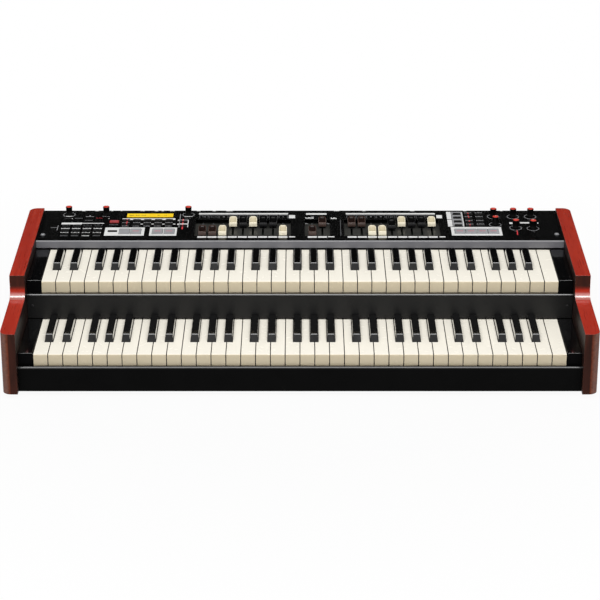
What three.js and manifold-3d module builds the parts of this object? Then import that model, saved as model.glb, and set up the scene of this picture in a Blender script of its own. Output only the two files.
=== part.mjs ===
// Two-manual stage organ with drawbars, between wooden cheeks
// X runs to the player's right, Y to the back and Z up; the origin is under the middle, on the ground
import * as THREE from 'three';
import Module from 'manifold-3d';
import { mergeVertices } from 'three/addons/utils/BufferGeometryUtils.js';

const wasm = await Module();
wasm.setup();

// Driving dimensions, in millimetres
const panelRun = 139.1;
const cheekThickness = 24.5;
const footHeight = 8;
const naturalPitch = 23.5;
const keyBlockWidth = 24;
const lowerKeyHeight = 60;
const manualRise = 65.5;
const manualSetback = 146.4;
const keySetback = 21.7;
const railSetback = 12.6;
const rearSetback = 2.9;
const fitGap = 0.3;
const pivotGap = 0.4;
const sheetThickness = 1.5;
const bendRadius = 3;
const cutOverrun = 1;

// Counts
const octaves = 5;
const naturalsPerOctave = 7;
const naturals = octaves * naturalsPerOctave + 1;
const bendSteps = 3;

// Keys
const naturalGap = 1;
const naturalThickness = 3;
const naturalEdgeRadius = 2.5;
const apronHeight = 19.8;
const apronThickness = 2.5;
const naturalLever = 192.8;
const naturalDip = 10;
const sharpSetback = 52.4;
const sharpWidth = 12.4;
const sharpTopWidth = 9.2;
const sharpHeight = 10.5;
const sharpShoulder = 2.5;
const sharpFrontSlope = 5;
const sharpSkirt = 4;
const lowerSharpEndGap = 0.8;
const upperSharpEndGap = 18.4;
const sharpClearance = 0.9;
const leverStagger = 22;
const leverWidth = 10;
const leverHeight = 7.5;
const leverDrop = 1.5;
const combBarWidth = 8;
const combBarHeight = 12;
const sharpBarHeight = 4.5;
const sharpBarOverhang = 2;

// Key bed under each manual
const bedClearance = 3.4;
const bedFrontInset = 5;
const pivotRailMargin = 8;

// Blocks at the ends of the keys
const keyBlockRise = 2;
const keyBlockRadius = 3;

// Wooden cheeks
const cheekAboveKeys = 43.4;
const cheekAbovePanel = 2.4;
const cheekStepAhead = 21.7;
const lowerTopSlope = 1.3;
const upperTopSlope = 0.95;
const cheekCornerRadius = 14;
const coveHeight = 24;
const coveLength = 16;
const coveSteps = 8;
const cornerSteps = 7;
const cheekTopRadius = 1;

// Base tray and front rail
const railHeight = 40.3;
const railLipDepth = 6.5;

// Fascia between the manuals, with the shelf of the upper manual
const fasciaKeyGap = 2.5;
const fasciaAhead = 5.2;
const fasciaThickness = 3.2;
const lipAhead = 3.4;
const lipHeight = 4.5;
const lipDrop = 19.4;
const lipRadius = 1.5;
const shelfDrop = 37.5;
const shelfBeyondBed = 46;

// Trim bar and control panel
const upperKeyShow = 142.9;
const trimKeyGap = 3.6;
const trimHeight = 12.7;
const trimThickness = 2.5;
const trimRadius = 1;
const panelSlope = 1.64;
const panelThickness = 2;

// Drawbars and their tray
const drawbarPitch = 17.2;
const drawbarTravel = 40.7;
const drawbarCapWidth = 13.4;
const drawbarCapLength = 24;
const drawbarCapRise = 10;
const drawbarLipRise = 7.5;
const drawbarScoopRise = 5.2;
const drawbarScoopSteps = 5;
const drawbarCapFloorGap = 0.6;
const drawbarCapRadius = 5.5;
const drawbarNoseRadius = 1.5;
const bladeWidth = 2.8;
const bladeHeight = 5.7;
const bladeRise = 1.2;
const bladeEndGap = 12.5;
const bladeSlotGap = 0.3;
const trayDepth = 4;
const trayThroatDepth = 10;
const trayFloor = 2;
const trayWall = 2;
const trayFrontGap = 2.9;
const trayRearGap = 9.2;
const throatAhead = 15;
const trayMargin = 3;
const windowFront = 22.4;
const windowNoseGap = 1.4;
const windowRearGap = 10.5;
const windowSide = 6.5;

// Knobs
const knobHeight = 15.5;
const knobTopRadius = 5.4;
const knobBaseRadius = 6.2;
const knobSkirt = 2;
const knobBevel = 0.8;
const knobSeatGap = 0.4;
const knobShaftRadius = 3;
const knobShaftDrop = 13.5;
const knobHoleGap = 0.4;
const knobSides = 16;
const knobTrayGap = 11.1;
const pointerWidth = 1.2;
const pointerRise = 0.5;

// Buttons
const buttonTravel = 1;
const buttonProud = 1.2;
const padProud = 0.5;
const buttonGap = 0.4;
const buttonSheet = 1.6;
const buttonSheetDrop = 4;
const buttonSheetMargin = 3;
const keyButtonWidth = 13;
const keyButtonDepth = 5.5;
const padWidth = 17.8;
const padDepth = 23;
const effectPadDepth = 20.5;
const menuButtonWidth = 16;
const menuButtonDepth = 9;
const pairTrayGap = 17.8;

// Display
const displayWidth = 86;
const displayDepth = 22;
const displayLip = 3;
const displayHeight = 5;
const displayRearGap = 1.6;
const displaySink = 0.3;

// Circuit board under the panel
const boardThickness = 1.6;
const boardDrop = 14;
const boardInset = 10;
const boardSideInset = 3;
const postSize = 6;

// Rear panel and its fittings
const rearFlange = 12;
const rearTopFlange = 5;
const jackPitch = 22;
const jackCount = 4;
const jackBlockHeight = 16;
const jackBlockDepth = 17;
const jackBore = 6.8;
const jackBoreDepth = 14;
const jackBoreSides = 12;
const jackFlange = 2.4;
const inletWidth = 31;
const inletHeight = 23;
const inletDepth = 22;
const inletFlange = 3;
const inletFlangeThickness = 1.8;
const inletMouthWidth = 25;
const inletMouthHeight = 17;
const inletMouthDepth = 17;
const inletPinWidth = 2;
const inletPinHeight = 4;
const inletPinLength = 10;
const inletPinSpread = 7;
const inletPinRise = 2;
const rockerWidth = 12;
const rockerHeight = 17;
const rockerDepth = 4.6;
const rockerBulge = 1.2;
const rockerSideGap = 0.5;
const rockerEndGap = 1;
const rockerTilt = 8;

// Power supply on the floor of the tray
const supplyWidth = 176;
const supplyDepth = 120;
const transformerWidth = 60;
const transformerDepth = 66;
const transformerHeight = 38;
const heatsinkWidth = 12;
const heatsinkHeight = 30;

// Feet
const footRadius = 16;
const footTopRadius = 18;
const footBevel = 1.5;
const footSides = 20;
const footInset = 44;

// Places on the panel, as shares of its width from the middle and of its depth from the front;
// the depths of the menu and edit buttons are shares of the way to the display
const knobPlaceShares = {
  volume_knob: [-0.4491, 0.8610],
  drive_knob: [-0.3767, 0.8600],
  bass_knob: [0.3751, 0.7925],
  mid_knob: [0.4134, 0.7910],
  treble_knob: [0.4470, 0.7910],
  reverb_knob: [0.3760, 0.5280],
  percussion_knob: [0.4138, 0.4200],
  vibrato_knob: [0.4467, 0.4040],
};
const valueKnobBackShare = 0.8580;
const matrixColumnShares = [-0.4497, -0.4290, -0.4083, -0.3876];
const matrixRowShares = [0.2120, 0.3300, 0.4620];
const menuPlaceShare = [-0.3586, 0.8415];
const editColumnShares = [-0.3359, -0.3151, -0.2944, -0.2736, -0.2528];
const editRowShares = [0.7240, 0.8901];
const presetColumnShares = [-0.3358, -0.3140, -0.2725, -0.2500];
const presetRowShares = [0.3010];
const pairRowShares = [0.4820, 0.6230];
const stackColumnShares = [0.3048];
const stackRowShares = [0.4900, 0.6190, 0.7460, 0.8690];
const effectColumnShares = [0.3272, 0.3480];
const effectRowShares = [0.4860, 0.6080, 0.7350, 0.8620];
const padColumnShares = [0.3058, 0.3271, 0.3487, 0.3697];
const padRowShares = [0.3040];
const displayAcrossShare = -0.2914;
const postPlaceShares = [[-0.4893, 0.1980], [0.4893, 0.1980], [-0.4893, 0.8700], [0.4893, 0.8700]];

// Drawbars from left to right: the middle of each group, and how far each bar is drawn out
const drawbarGroupShares = {
  upper: { middle: -0.1095, drawn: [1, 1, 1, 0, 0, 0, 0, 0, 1] },
  pedal: { middle: 0.0332, drawn: [1, 0] },
  lower: { middle: 0.1761, drawn: [0, 0, 1, 1, 0.3, 0, 0, 0, 0] },
};

// Places on the rear panel, as shares of the panel's width and of the rear panel's height
const jackPlaceShare = [-0.12, 0.45];
const inletPlaceShare = [0.44, 0.30];
const rockerPlaceShare = [0.39, 0.30];

// Derived places
const bedDrop = apronHeight + naturalDip + bedClearance;
const manualHalf = naturals * naturalPitch / 2;
const cheekInner = manualHalf + keyBlockWidth;
const innerHalf = cheekInner - fitGap;
const panelWidth = 2 * cheekInner;
const bodyDepth = keySetback + manualSetback + upperKeyShow + panelRun + rearSetback;
const frontY = -bodyDepth / 2;
const backY = bodyDepth / 2;
const baseZ = footHeight;
const lowerKeyY = frontY + keySetback;
const upperKeyY = lowerKeyY + manualSetback;
const lowerKeyZ = baseZ + lowerKeyHeight;
const upperKeyZ = lowerKeyZ + manualRise;
const fasciaY = upperKeyY - fasciaAhead;
const lowerKeyShow = fasciaY - lowerKeyY;
const shelfZ = upperKeyZ - shelfDrop;
const trimY = upperKeyY + upperKeyShow;
const trimZ = upperKeyZ + trimKeyGap;
const panelZ = trimZ + trimHeight;
const panelAngle = THREE.MathUtils.degToRad(panelSlope);
const rearY = backY - rearSetback;
const panelDepth = panelRun / Math.cos(panelAngle);
const floorZ = baseZ + sheetThickness;
const rearTopZ = panelZ + (rearY - trimY) * Math.tan(panelAngle)
  - (panelThickness + fitGap) / Math.cos(panelAngle) - sheetThickness * Math.tan(panelAngle);
const rearBottomZ = floorZ + fitGap;
const sharpLever = naturalLever - leverStagger;
const pivotRailFront = sharpLever - pivotRailMargin;
const pivotRailBack = naturalLever + pivotRailMargin;
const cheekStepBack = keySetback + manualSetback - cheekStepAhead;
const lowerCheekTop = lowerKeyZ + cheekAboveKeys;
const upperCheekTop = panelZ + cheekAbovePanel;
const drawbarInFront = windowFront + windowNoseGap + drawbarTravel;
const windowBack = drawbarInFront + drawbarCapLength + windowRearGap;
const trayFront = windowFront - trayFrontGap;
const trayThroat = windowBack - throatAhead;
const trayBack = panelDepth - trayRearGap;
const bladeLength = trayBack - trayWall - bladeEndGap - drawbarInFront - drawbarCapLength;
const displayX = displayAcrossShare * panelWidth;
const displayY = panelDepth - sheetThickness - rearTopFlange - displayRearGap - displayLip - displayDepth / 2;
const displayFront = displayY - displayDepth / 2 - displayLip;

// Finishes
const finishes = {
  wood: { color: 0x8c2a20, roughness: 0.35, metalness: 0 },
  blackMetal: { color: 0x16171a, roughness: 0.4, metalness: 0.4 },
  blackPlastic: { color: 0x17181b, roughness: 0.45, metalness: 0 },
  ivory: { color: 0xf0ebdd, roughness: 0.25, metalness: 0 },
  ebony: { color: 0x1b1b1c, roughness: 0.3, metalness: 0 },
  cream: { color: 0xebe0c0, roughness: 0.3, metalness: 0 },
  brown: { color: 0x45291f, roughness: 0.35, metalness: 0 },
  grey: { color: 0x68676a, roughness: 0.4, metalness: 0.6 },
  steel: { color: 0x9a9c9f, roughness: 0.4, metalness: 0.8 },
  amber: { color: 0xf4d22e, roughness: 0.2, metalness: 0 },
  rubber: { color: 0x202020, roughness: 0.85, metalness: 0 },
  board: { color: 0x1f5a33, roughness: 0.5, metalness: 0 },
};

// Colour of each drawbar, from left to right
const drawbarColours = {
  upper: ['brown', 'brown', 'cream', 'cream', 'ebony', 'cream', 'ebony', 'ebony', 'cream'],
  pedal: ['brown', 'brown'],
  lower: ['brown', 'brown', 'cream', 'cream', 'ebony', 'cream', 'ebony', 'ebony', 'cream'],
};

const organ = new THREE.Group();
organ.name = 'stage_organ';

function addPiece(parent, name, geometry, finish) {
  const piece = new THREE.Mesh(geometry, new THREE.MeshStandardMaterial(finishes[finish]));
  piece.name = name;
  parent.add(piece);
  return piece;
}

function placedGroup(parent, x, y, z, angle = 0) {
  const group = new THREE.Group();
  group.position.set(x, y, z);
  group.rotation.x = angle;
  parent.add(group);
  return group;
}

function toSolid(geometry) {
  const bare = geometry.clone();
  bare.deleteAttribute('normal');
  bare.deleteAttribute('uv');
  const merged = mergeVertices(bare);
  const vertProperties = new Float32Array(merged.attributes.position.array);
  const triVerts = new Uint32Array(merged.index.array);
  return new wasm.Manifold(new wasm.Mesh({ numProp: 3, vertProperties, triVerts }));
}

function toGeometry(solid) {
  const mesh = solid.getMesh();
  const geometry = new THREE.BufferGeometry();
  geometry.setAttribute('position', new THREE.BufferAttribute(mesh.vertProperties, 3));
  geometry.setIndex(new THREE.BufferAttribute(mesh.triVerts, 1));
  geometry.computeVertexNormals();
  return geometry;
}

function joined(geometries) {
  return geometries.map(toSolid).reduce((whole, next) => whole.add(next));
}

function carved(solid, cutters) {
  return cutters.map(toSolid).reduce((rest, cutter) => rest.subtract(cutter), solid);
}

// Box between two corners
function block(x0, x1, y0, y1, z0, z1) {
  const geometry = new THREE.BoxGeometry(x1 - x0, y1 - y0, z1 - z0);
  return geometry.translate((x0 + x1) / 2, (y0 + y1) / 2, (z0 + z1) / 2);
}

// Box around a middle in X and Y, between two heights
function standingBlock(x, y, width, depth, z0, z1) {
  return block(x - width / 2, x + width / 2, y - depth / 2, y + depth / 2, z0, z1);
}

// Upright prism or cylinder with an even number of sides
function standingRod(x, y, radius, sides, z0, z1) {
  const geometry = new THREE.CylinderGeometry(radius, radius, z1 - z0, sides);
  return geometry.rotateX(Math.PI / 2).translate(x, y, (z0 + z1) / 2);
}

// Outline in Y and Z, drawn out along X
function alongX(outline, x0, x1) {
  const shape = new THREE.Shape(outline.map(([y, z]) => new THREE.Vector2(y, z)));
  const geometry = new THREE.ExtrudeGeometry(shape, { depth: x1 - x0, bevelEnabled: false });
  const toYZX = new THREE.Matrix4().makeBasis(
    new THREE.Vector3(0, 1, 0),
    new THREE.Vector3(0, 0, 1),
    new THREE.Vector3(1, 0, 0),
  );
  return geometry.applyMatrix4(toYZX).translate(x0, 0, 0);
}

// Path with each inner corner replaced by a short arc
function bent(path, radius, steps) {
  const points = [path[0]];
  for (let i = 1; i < path.length - 1; i += 1) {
    const corner = new THREE.Vector2(...path[i]);
    const before = new THREE.Vector2(...path[i - 1]).sub(corner).setLength(radius).add(corner);
    const after = new THREE.Vector2(...path[i + 1]).sub(corner).setLength(radius).add(corner);
    const arc = new THREE.QuadraticBezierCurve(before, corner, after);
    points.push(...arc.getPoints(steps).map((point) => point.toArray()));
  }
  points.push(path[path.length - 1]);
  return points;
}

// Closed outline of a folded sheet whose outer side follows the path, with the sheet on its left
function sheetOutline(path, thickness) {
  const points = path.map(([y, z]) => new THREE.Vector2(y, z));
  const leftOf = (a, b) => new THREE.Vector2(a.y - b.y, b.x - a.x).normalize();
  const inner = points.map((point, i) => {
    const normals = [];
    if (i > 0) {
      normals.push(leftOf(points[i - 1], point));
    }
    if (i < points.length - 1) {
      normals.push(leftOf(point, points[i + 1]));
    }
    const first = normals[0];
    const last = normals[normals.length - 1];
    const mitre = first.clone().add(last).normalize();
    return point.clone().addScaledVector(mitre, thickness / mitre.dot(first));
  });
  return [...path, ...inner.reverse().map((point) => point.toArray())];
}

// Solid through rings that all have the same number of points, closed by a flat cap at both ends
function lofted(rings, capFaces) {
  const count = rings[0].length;
  const positions = rings.flat(2);
  const index = [];
  for (let r = 0; r < rings.length - 1; r += 1) {
    for (let i = 0; i < count; i += 1) {
      const a = r * count + i;
      const b = r * count + (i + 1) % count;
      index.push(a, b, b + count, a, b + count, a + count);
    }
  }
  const end = (rings.length - 1) * count;
  for (const [a, b, c] of capFaces) {
    index.push(a, c, b, end + a, end + b, end + c);
  }
  const geometry = new THREE.BufferGeometry();
  geometry.setAttribute('position', new THREE.Float32BufferAttribute(positions, 3));
  geometry.setIndex(index);
  geometry.computeVertexNormals();
  return geometry;
}

// Rectangular block whose width and ends change from layer to layer
function steppedBlock(x, layers) {
  const rings = layers.map(({ z, width, y0, y1 }) => [
    [x - width / 2, y0, z],
    [x + width / 2, y0, z],
    [x + width / 2, y1, z],
    [x - width / 2, y1, z],
  ]);
  return lofted(rings, [[0, 1, 2], [0, 2, 3]]);
}

// How far the cheek's outer corner is drawn in, at a distance from its inner face
function cornerInset(across) {
  const into = Math.max(0, across - (cheekThickness - cheekCornerRadius));
  return cheekCornerRadius - Math.sqrt(cheekCornerRadius ** 2 - into ** 2);
}

// Side outline of a cheek, in Y and Z, with its lower front and its back drawn in
function cheekOutline(inset) {
  const lowerSlope = Math.tan(THREE.MathUtils.degToRad(lowerTopSlope));
  const upperSlope = Math.tan(THREE.MathUtils.degToRad(upperTopSlope));
  const y0 = frontY + inset;
  const yStep = frontY + cheekStepBack;
  const y1 = backY - inset;
  const lowerTop = (y) => lowerCheekTop + (y - frontY) * lowerSlope;
  const upperTop = (y) => upperCheekTop + (y - yStep) * upperSlope;
  const coveCorner = new THREE.Vector2(yStep, lowerTop(yStep));
  const cove = new THREE.QuadraticBezierCurve(
    new THREE.Vector2(yStep - coveLength, lowerTop(yStep - coveLength)),
    coveCorner,
    new THREE.Vector2(yStep, coveCorner.y + coveHeight),
  );
  return [
    [y0, baseZ],
    [y0, lowerTop(y0) - cheekTopRadius],
    [y0 + cheekTopRadius, lowerTop(y0 + cheekTopRadius)],
    ...cove.getPoints(coveSteps).map((point) => point.toArray()),
    [yStep, upperTop(yStep) - cheekTopRadius],
    [yStep + cheekTopRadius, upperTop(yStep + cheekTopRadius)],
    [y1 - cheekTopRadius, upperTop(y1 - cheekTopRadius)],
    [y1, upperTop(y1) - cheekTopRadius],
    [y1, baseZ],
  ];
}

function cheek(side) {
  const stations = [0];
  for (let i = 0; i <= cornerSteps; i += 1) {
    const turn = (i / cornerSteps) * Math.PI / 2;
    stations.push(cheekThickness - cheekCornerRadius + cheekCornerRadius * Math.sin(turn));
  }
  const ordered = side > 0 ? stations : stations.toReversed();
  const rings = ordered.map((across) => cheekOutline(cornerInset(across))
    .map(([y, z]) => [side * (cheekInner + across), y, z]));
  const flat = cheekOutline(0).map(([y, z]) => new THREE.Vector2(y, z));
  const faces = THREE.ShapeUtils.triangulateShape(flat, []);
  const clockwise = THREE.ShapeUtils.isClockWise(flat);
  const outward = clockwise ? rings.map((ring) => ring.toReversed()) : rings;
  const last = flat.length - 1;
  const turned = faces.map((face) => face.map((corner) => (clockwise ? last - corner : corner)));
  return lofted(outward, turned);
}

// Tray of folded steel: the lip and face of the front rail, then the floor
function baseTray() {
  const railY = frontY + railSetback;
  const path = [
    [railY + railLipDepth, baseZ + railHeight],
    [railY, baseZ + railHeight],
    [railY, baseZ],
    [rearY - fitGap, baseZ],
  ];
  return alongX(sheetOutline(bent(path, bendRadius, bendSteps), sheetThickness), -innerHalf, innerHalf);
}

function fascia() {
  const lipY = fasciaY - lipAhead;
  const lipZ = upperKeyZ - lipDrop;
  const wallBack = fasciaY + fasciaThickness;
  const wallBottom = lowerKeyZ + fasciaKeyGap;
  const shelfBack = upperKeyY + pivotRailBack + shelfBeyondBed;
  const outline = [
    [fasciaY, wallBottom],
    [fasciaY, lipZ - lipHeight],
    [lipY, lipZ - lipHeight + lipRadius],
    [lipY, lipZ - lipRadius],
    [lipY + lipRadius, lipZ],
    [wallBack, lipZ],
    [wallBack, shelfZ],
    [shelfBack, shelfZ],
    [shelfBack, shelfZ - sheetThickness],
    [wallBack, shelfZ - sheetThickness],
    [wallBack, wallBottom],
  ];
  return alongX(outline, -innerHalf, innerHalf);
}

function trimBar() {
  const outline = [
    [0, 0],
    [0, trimHeight - trimRadius],
    [trimRadius, trimHeight],
    [trimThickness, trimHeight],
    [trimThickness, 0],
  ];
  return alongX(outline, -innerHalf, innerHalf);
}

// Sharps sit so that all the key levers behind them are equally wide within each group
const notchWidth = sharpWidth + 2 * sharpClearance;
const sharpGroups = [{ first: 0, whites: 3 }, { first: 3, whites: 4 }];
const sharpPlaces = [];
for (let octave = 0; octave < octaves; octave += 1) {
  for (const { first, whites } of sharpGroups) {
    const groupStart = (octave * naturalsPerOctave + first) * naturalPitch - manualHalf;
    const lever = (whites * naturalPitch - (whites - 1) * notchWidth) / whites;
    for (let i = 1; i < whites; i += 1) {
      sharpPlaces.push({
        seam: octave * naturalsPerOctave + first + i,
        x: groupStart + i * lever + (i - 0.5) * notchWidth,
      });
    }
  }
}

// All the naturals of a manual: fronts at Y 0, tops at Z 0, joined by a bar at the back
function naturalKeys() {
  const half = manualHalf - naturalGap / 2;
  const barFront = naturalLever - combBarWidth / 2;
  const edge = bent(
    [[0, -apronHeight], [0, 0], [naturalLever + combBarWidth / 2, 0]],
    naturalEdgeRadius,
    bendSteps,
  );
  const outline = [
    ...edge,
    [naturalLever + combBarWidth / 2, -combBarHeight],
    [barFront, -combBarHeight],
    [barFront, -naturalThickness],
    [apronThickness, -naturalThickness],
    [apronThickness, -apronHeight],
  ];
  const top = cutOverrun;
  const bottom = -apronHeight - cutOverrun;
  const notches = new Map(sharpPlaces.map(({ seam, x }) => [seam, x]));
  const cuts = [];
  for (let seam = 1; seam < naturals; seam += 1) {
    const x = seam * naturalPitch - manualHalf;
    const seamEnd = notches.has(seam) ? sharpSetback : barFront;
    cuts.push(block(x - naturalGap / 2, x + naturalGap / 2, -cutOverrun, seamEnd, bottom, top));
  }
  for (const { x } of sharpPlaces) {
    const notchFront = sharpSetback - sharpClearance;
    cuts.push(block(x - notchWidth / 2, x + notchWidth / 2, notchFront, barFront, bottom, top));
  }
  return toGeometry(carved(toSolid(alongX(outline, -half, half)), cuts));
}

// All the sharps of a manual, with tapered tops on levers joined by a bar under the naturals
function sharpKeys(end) {
  const bevel = (sharpWidth - sharpTopWidth) / 2;
  const barFront = sharpLever - combBarWidth / 2;
  const barBack = sharpLever + combBarWidth / 2;
  const barReach = leverWidth / 2 + sharpBarOverhang;
  const pieces = [
    block(sharpPlaces[0].x - barReach, sharpPlaces.at(-1).x + barReach, barFront, barBack,
      -combBarHeight, -combBarHeight + sharpBarHeight),
  ];
  for (const { x } of sharpPlaces) {
    const shoulderZ = sharpHeight - sharpShoulder;
    pieces.push(steppedBlock(x, [
      { z: -sharpSkirt, width: sharpWidth, y0: sharpSetback, y1: end },
      { z: 0, width: sharpWidth, y0: sharpSetback, y1: end },
      { z: shoulderZ, width: sharpTopWidth + bevel, y0: sharpSetback + sharpFrontSlope / 2, y1: end },
      { z: sharpHeight, width: sharpTopWidth, y0: sharpSetback + sharpFrontSlope, y1: end },
    ]));
    pieces.push(block(x - leverWidth / 2, x + leverWidth / 2, sharpSetback + sharpFrontSlope, sharpLever,
      -leverDrop - leverHeight, -leverDrop));
  }
  return toGeometry(joined(pieces));
}

// Folded bed of a manual, with the raised rail that the keys turn on; its feet reach down by legDrop
function keyBed(legDrop) {
  const railTop = -combBarHeight - pivotGap;
  const path = [
    [pivotRailBack, -legDrop],
    [pivotRailBack, railTop],
    [pivotRailFront, railTop],
    [pivotRailFront, -bedDrop],
    [bedFrontInset, -bedDrop],
    [bedFrontInset, -legDrop],
  ];
  return alongX(sheetOutline(path, sheetThickness), -innerHalf, innerHalf);
}

// Block that closes a manual at one end; show is how far it reaches back
function keyBlock(side, show) {
  const near = side * (manualHalf + fitGap);
  const far = side * innerHalf;
  const path = [[0, -bedDrop + fitGap], [0, keyBlockRise], [show - fitGap, keyBlockRise]];
  const outline = [...bent(path, keyBlockRadius, bendSteps), [show - fitGap, -bedDrop + fitGap]];
  return alongX(outline, Math.min(near, far), Math.max(near, far));
}

function addManual(name, y, z, show, sharpEnd, legDrop) {
  const manual = placedGroup(organ, 0, y, z);
  addPiece(manual, `${name}_naturals`, naturalKeys(), 'ivory');
  addPiece(manual, `${name}_sharps`, sharpKeys(sharpEnd), 'ebony');
  addPiece(manual, `${name}_keybed`, keyBed(legDrop), 'steel');
  addPiece(manual, `${name}_left_key_block`, keyBlock(-1, show), 'blackPlastic');
  addPiece(manual, `${name}_right_key_block`, keyBlock(1, show), 'blackPlastic');
}

// Everything on the panel is placed from the panel's front edge: X across, Y back along the slope
const onPanel = ([acrossShare, backShare], depth = panelDepth) => (
  [acrossShare * panelWidth, backShare * depth]
);

function grid(columnShares, rowShares, width, depth, rise, reach = panelDepth) {
  return rowShares.flatMap((row) => columnShares.map((column) => {
    const [x, y] = onPanel([column, row], reach);
    return { x, y, width, depth, rise };
  }));
}

// Drawbars of every group, with the X of each bar and how far it is drawn out
const drawbars = Object.entries(drawbarGroupShares).flatMap(([group, { middle, drawn }]) => (
  drawn.map((share, i) => ({
    name: `${group}_drawbar_${i + 1}`,
    group,
    x: middle * panelWidth + (i - (drawn.length - 1) / 2) * drawbarPitch,
    out: share * drawbarTravel,
    colour: drawbarColours[group][i],
  }))
));
const drawbarWindows = Object.entries(drawbarGroupShares).map(([, { middle, drawn }]) => {
  const reach = (drawn.length - 1) / 2 * drawbarPitch + drawbarCapWidth / 2 + windowSide;
  return { x0: middle * panelWidth - reach, x1: middle * panelWidth + reach };
});

const trayLeft = drawbarWindows[0].x0 - trayMargin;
const trayRight = drawbarWindows.at(-1).x1 + trayMargin;

// Middle of each knob, from the panel's front edge
const knobPlaces = {
  ...Object.fromEntries(Object.entries(knobPlaceShares).map(([name, place]) => [name, onPanel(place)])),
  value_knob: [trayLeft - knobTrayGap, valueKnobBackShare * panelDepth],
};

const buttonRise = buttonTravel + buttonProud;
const padRise = buttonTravel + padProud;
const [menuX, menuY] = onPanel(menuPlaceShare, displayFront);
const buttonBanks = {
  function_buttons: [
    grid(matrixColumnShares, matrixRowShares, keyButtonWidth, keyButtonDepth, buttonRise),
  ],
  preset_buttons: [
    [{ x: menuX, y: menuY, width: menuButtonWidth, depth: menuButtonDepth, rise: buttonRise }],
    grid(editColumnShares, editRowShares, keyButtonWidth, keyButtonDepth, buttonRise, displayFront),
    grid(presetColumnShares, presetRowShares, padWidth, padDepth, padRise),
    pairRowShares.map((row) => ({
      x: trayLeft - pairTrayGap,
      y: row * panelDepth,
      width: keyButtonWidth,
      depth: keyButtonDepth,
      rise: buttonRise,
    })),
  ],
  effect_buttons: [
    grid(stackColumnShares, stackRowShares, keyButtonWidth, keyButtonDepth, buttonRise),
    grid(effectColumnShares, effectRowShares, keyButtonWidth, keyButtonDepth, buttonRise),
    grid(padColumnShares, padRowShares, padWidth, effectPadDepth, padRise),
  ],
};

// Holes in whatever lies under the panel where the shafts of the knobs pass
function knobHoles(z0, z1) {
  return Object.values(knobPlaces).map(([x, y]) => (
    standingRod(x, y, knobShaftRadius + knobHoleGap, knobSides, z0, z1)
  ));
}

// A bank of buttons on one rubber sheet
function buttonBank(clusters) {
  const buttons = clusters.flat();
  const x0 = Math.min(...buttons.map(({ x, width }) => x - width / 2)) - buttonSheetMargin;
  const x1 = Math.max(...buttons.map(({ x, width }) => x + width / 2)) + buttonSheetMargin;
  const y0 = Math.min(...buttons.map(({ y, depth }) => y - depth / 2)) - buttonSheetMargin;
  const y1 = Math.max(...buttons.map(({ y, depth }) => y + depth / 2)) + buttonSheetMargin;
  const sheetTop = -buttonSheetDrop;
  const sheetBottom = sheetTop - buttonSheet;
  const sheet = toSolid(block(x0, x1, y0, y1, sheetBottom, sheetTop));
  const caps = buttons.map(({ x, y, width, depth, rise }) => (
    standingBlock(x, y, width, depth, sheetBottom, rise)
  ));
  return toGeometry(carved(sheet, knobHoles(sheetBottom - cutOverrun, sheetTop + cutOverrun))
    .add(joined(caps)));
}

// Drawbar pushed in: the front of its cap at Y 0 and the top of the tray's floor at Z 0
function drawbar() {
  const bottom = drawbarCapFloorGap;
  const lipTop = trayDepth + drawbarLipRise;
  const rearTop = trayDepth + drawbarCapRise;
  const scoopFloor = trayDepth + drawbarScoopRise;
  const scoop = new THREE.QuadraticBezierCurve(
    new THREE.Vector2(drawbarNoseRadius * 2, lipTop),
    new THREE.Vector2(drawbarCapLength / 2, 2 * scoopFloor - (lipTop + rearTop) / 2),
    new THREE.Vector2(drawbarCapLength - drawbarNoseRadius, rearTop),
  );
  const side = alongX([
    [0, bottom],
    [0, lipTop - drawbarNoseRadius],
    [drawbarNoseRadius, lipTop],
    ...scoop.getPoints(drawbarScoopSteps).map((point) => point.toArray()),
    [drawbarCapLength, rearTop - drawbarNoseRadius],
    [drawbarCapLength, bottom],
  ], -drawbarCapWidth / 2, drawbarCapWidth / 2);
  const half = drawbarCapWidth / 2;
  const plan = new THREE.Shape();
  plan.moveTo(-half, -cutOverrun);
  plan.lineTo(half, -cutOverrun);
  plan.lineTo(half, drawbarCapLength - drawbarCapRadius);
  plan.quadraticCurveTo(half, drawbarCapLength, half - drawbarCapRadius, drawbarCapLength);
  plan.lineTo(drawbarCapRadius - half, drawbarCapLength);
  plan.quadraticCurveTo(-half, drawbarCapLength, -half, drawbarCapLength - drawbarCapRadius);
  plan.closePath();
  const column = new THREE.ExtrudeGeometry(plan, {
    depth: rearTop + 2 * cutOverrun,
    bevelEnabled: false,
    curveSegments: bendSteps,
  }).translate(0, 0, -cutOverrun);
  const cap = toSolid(side).intersect(toSolid(column));
  const blade = block(-bladeWidth / 2, bladeWidth / 2, drawbarCapLength / 2,
    drawbarCapLength + bladeLength, bladeRise - bladeHeight, bladeRise);
  return toGeometry(cap.add(toSolid(blade)));
}

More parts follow.
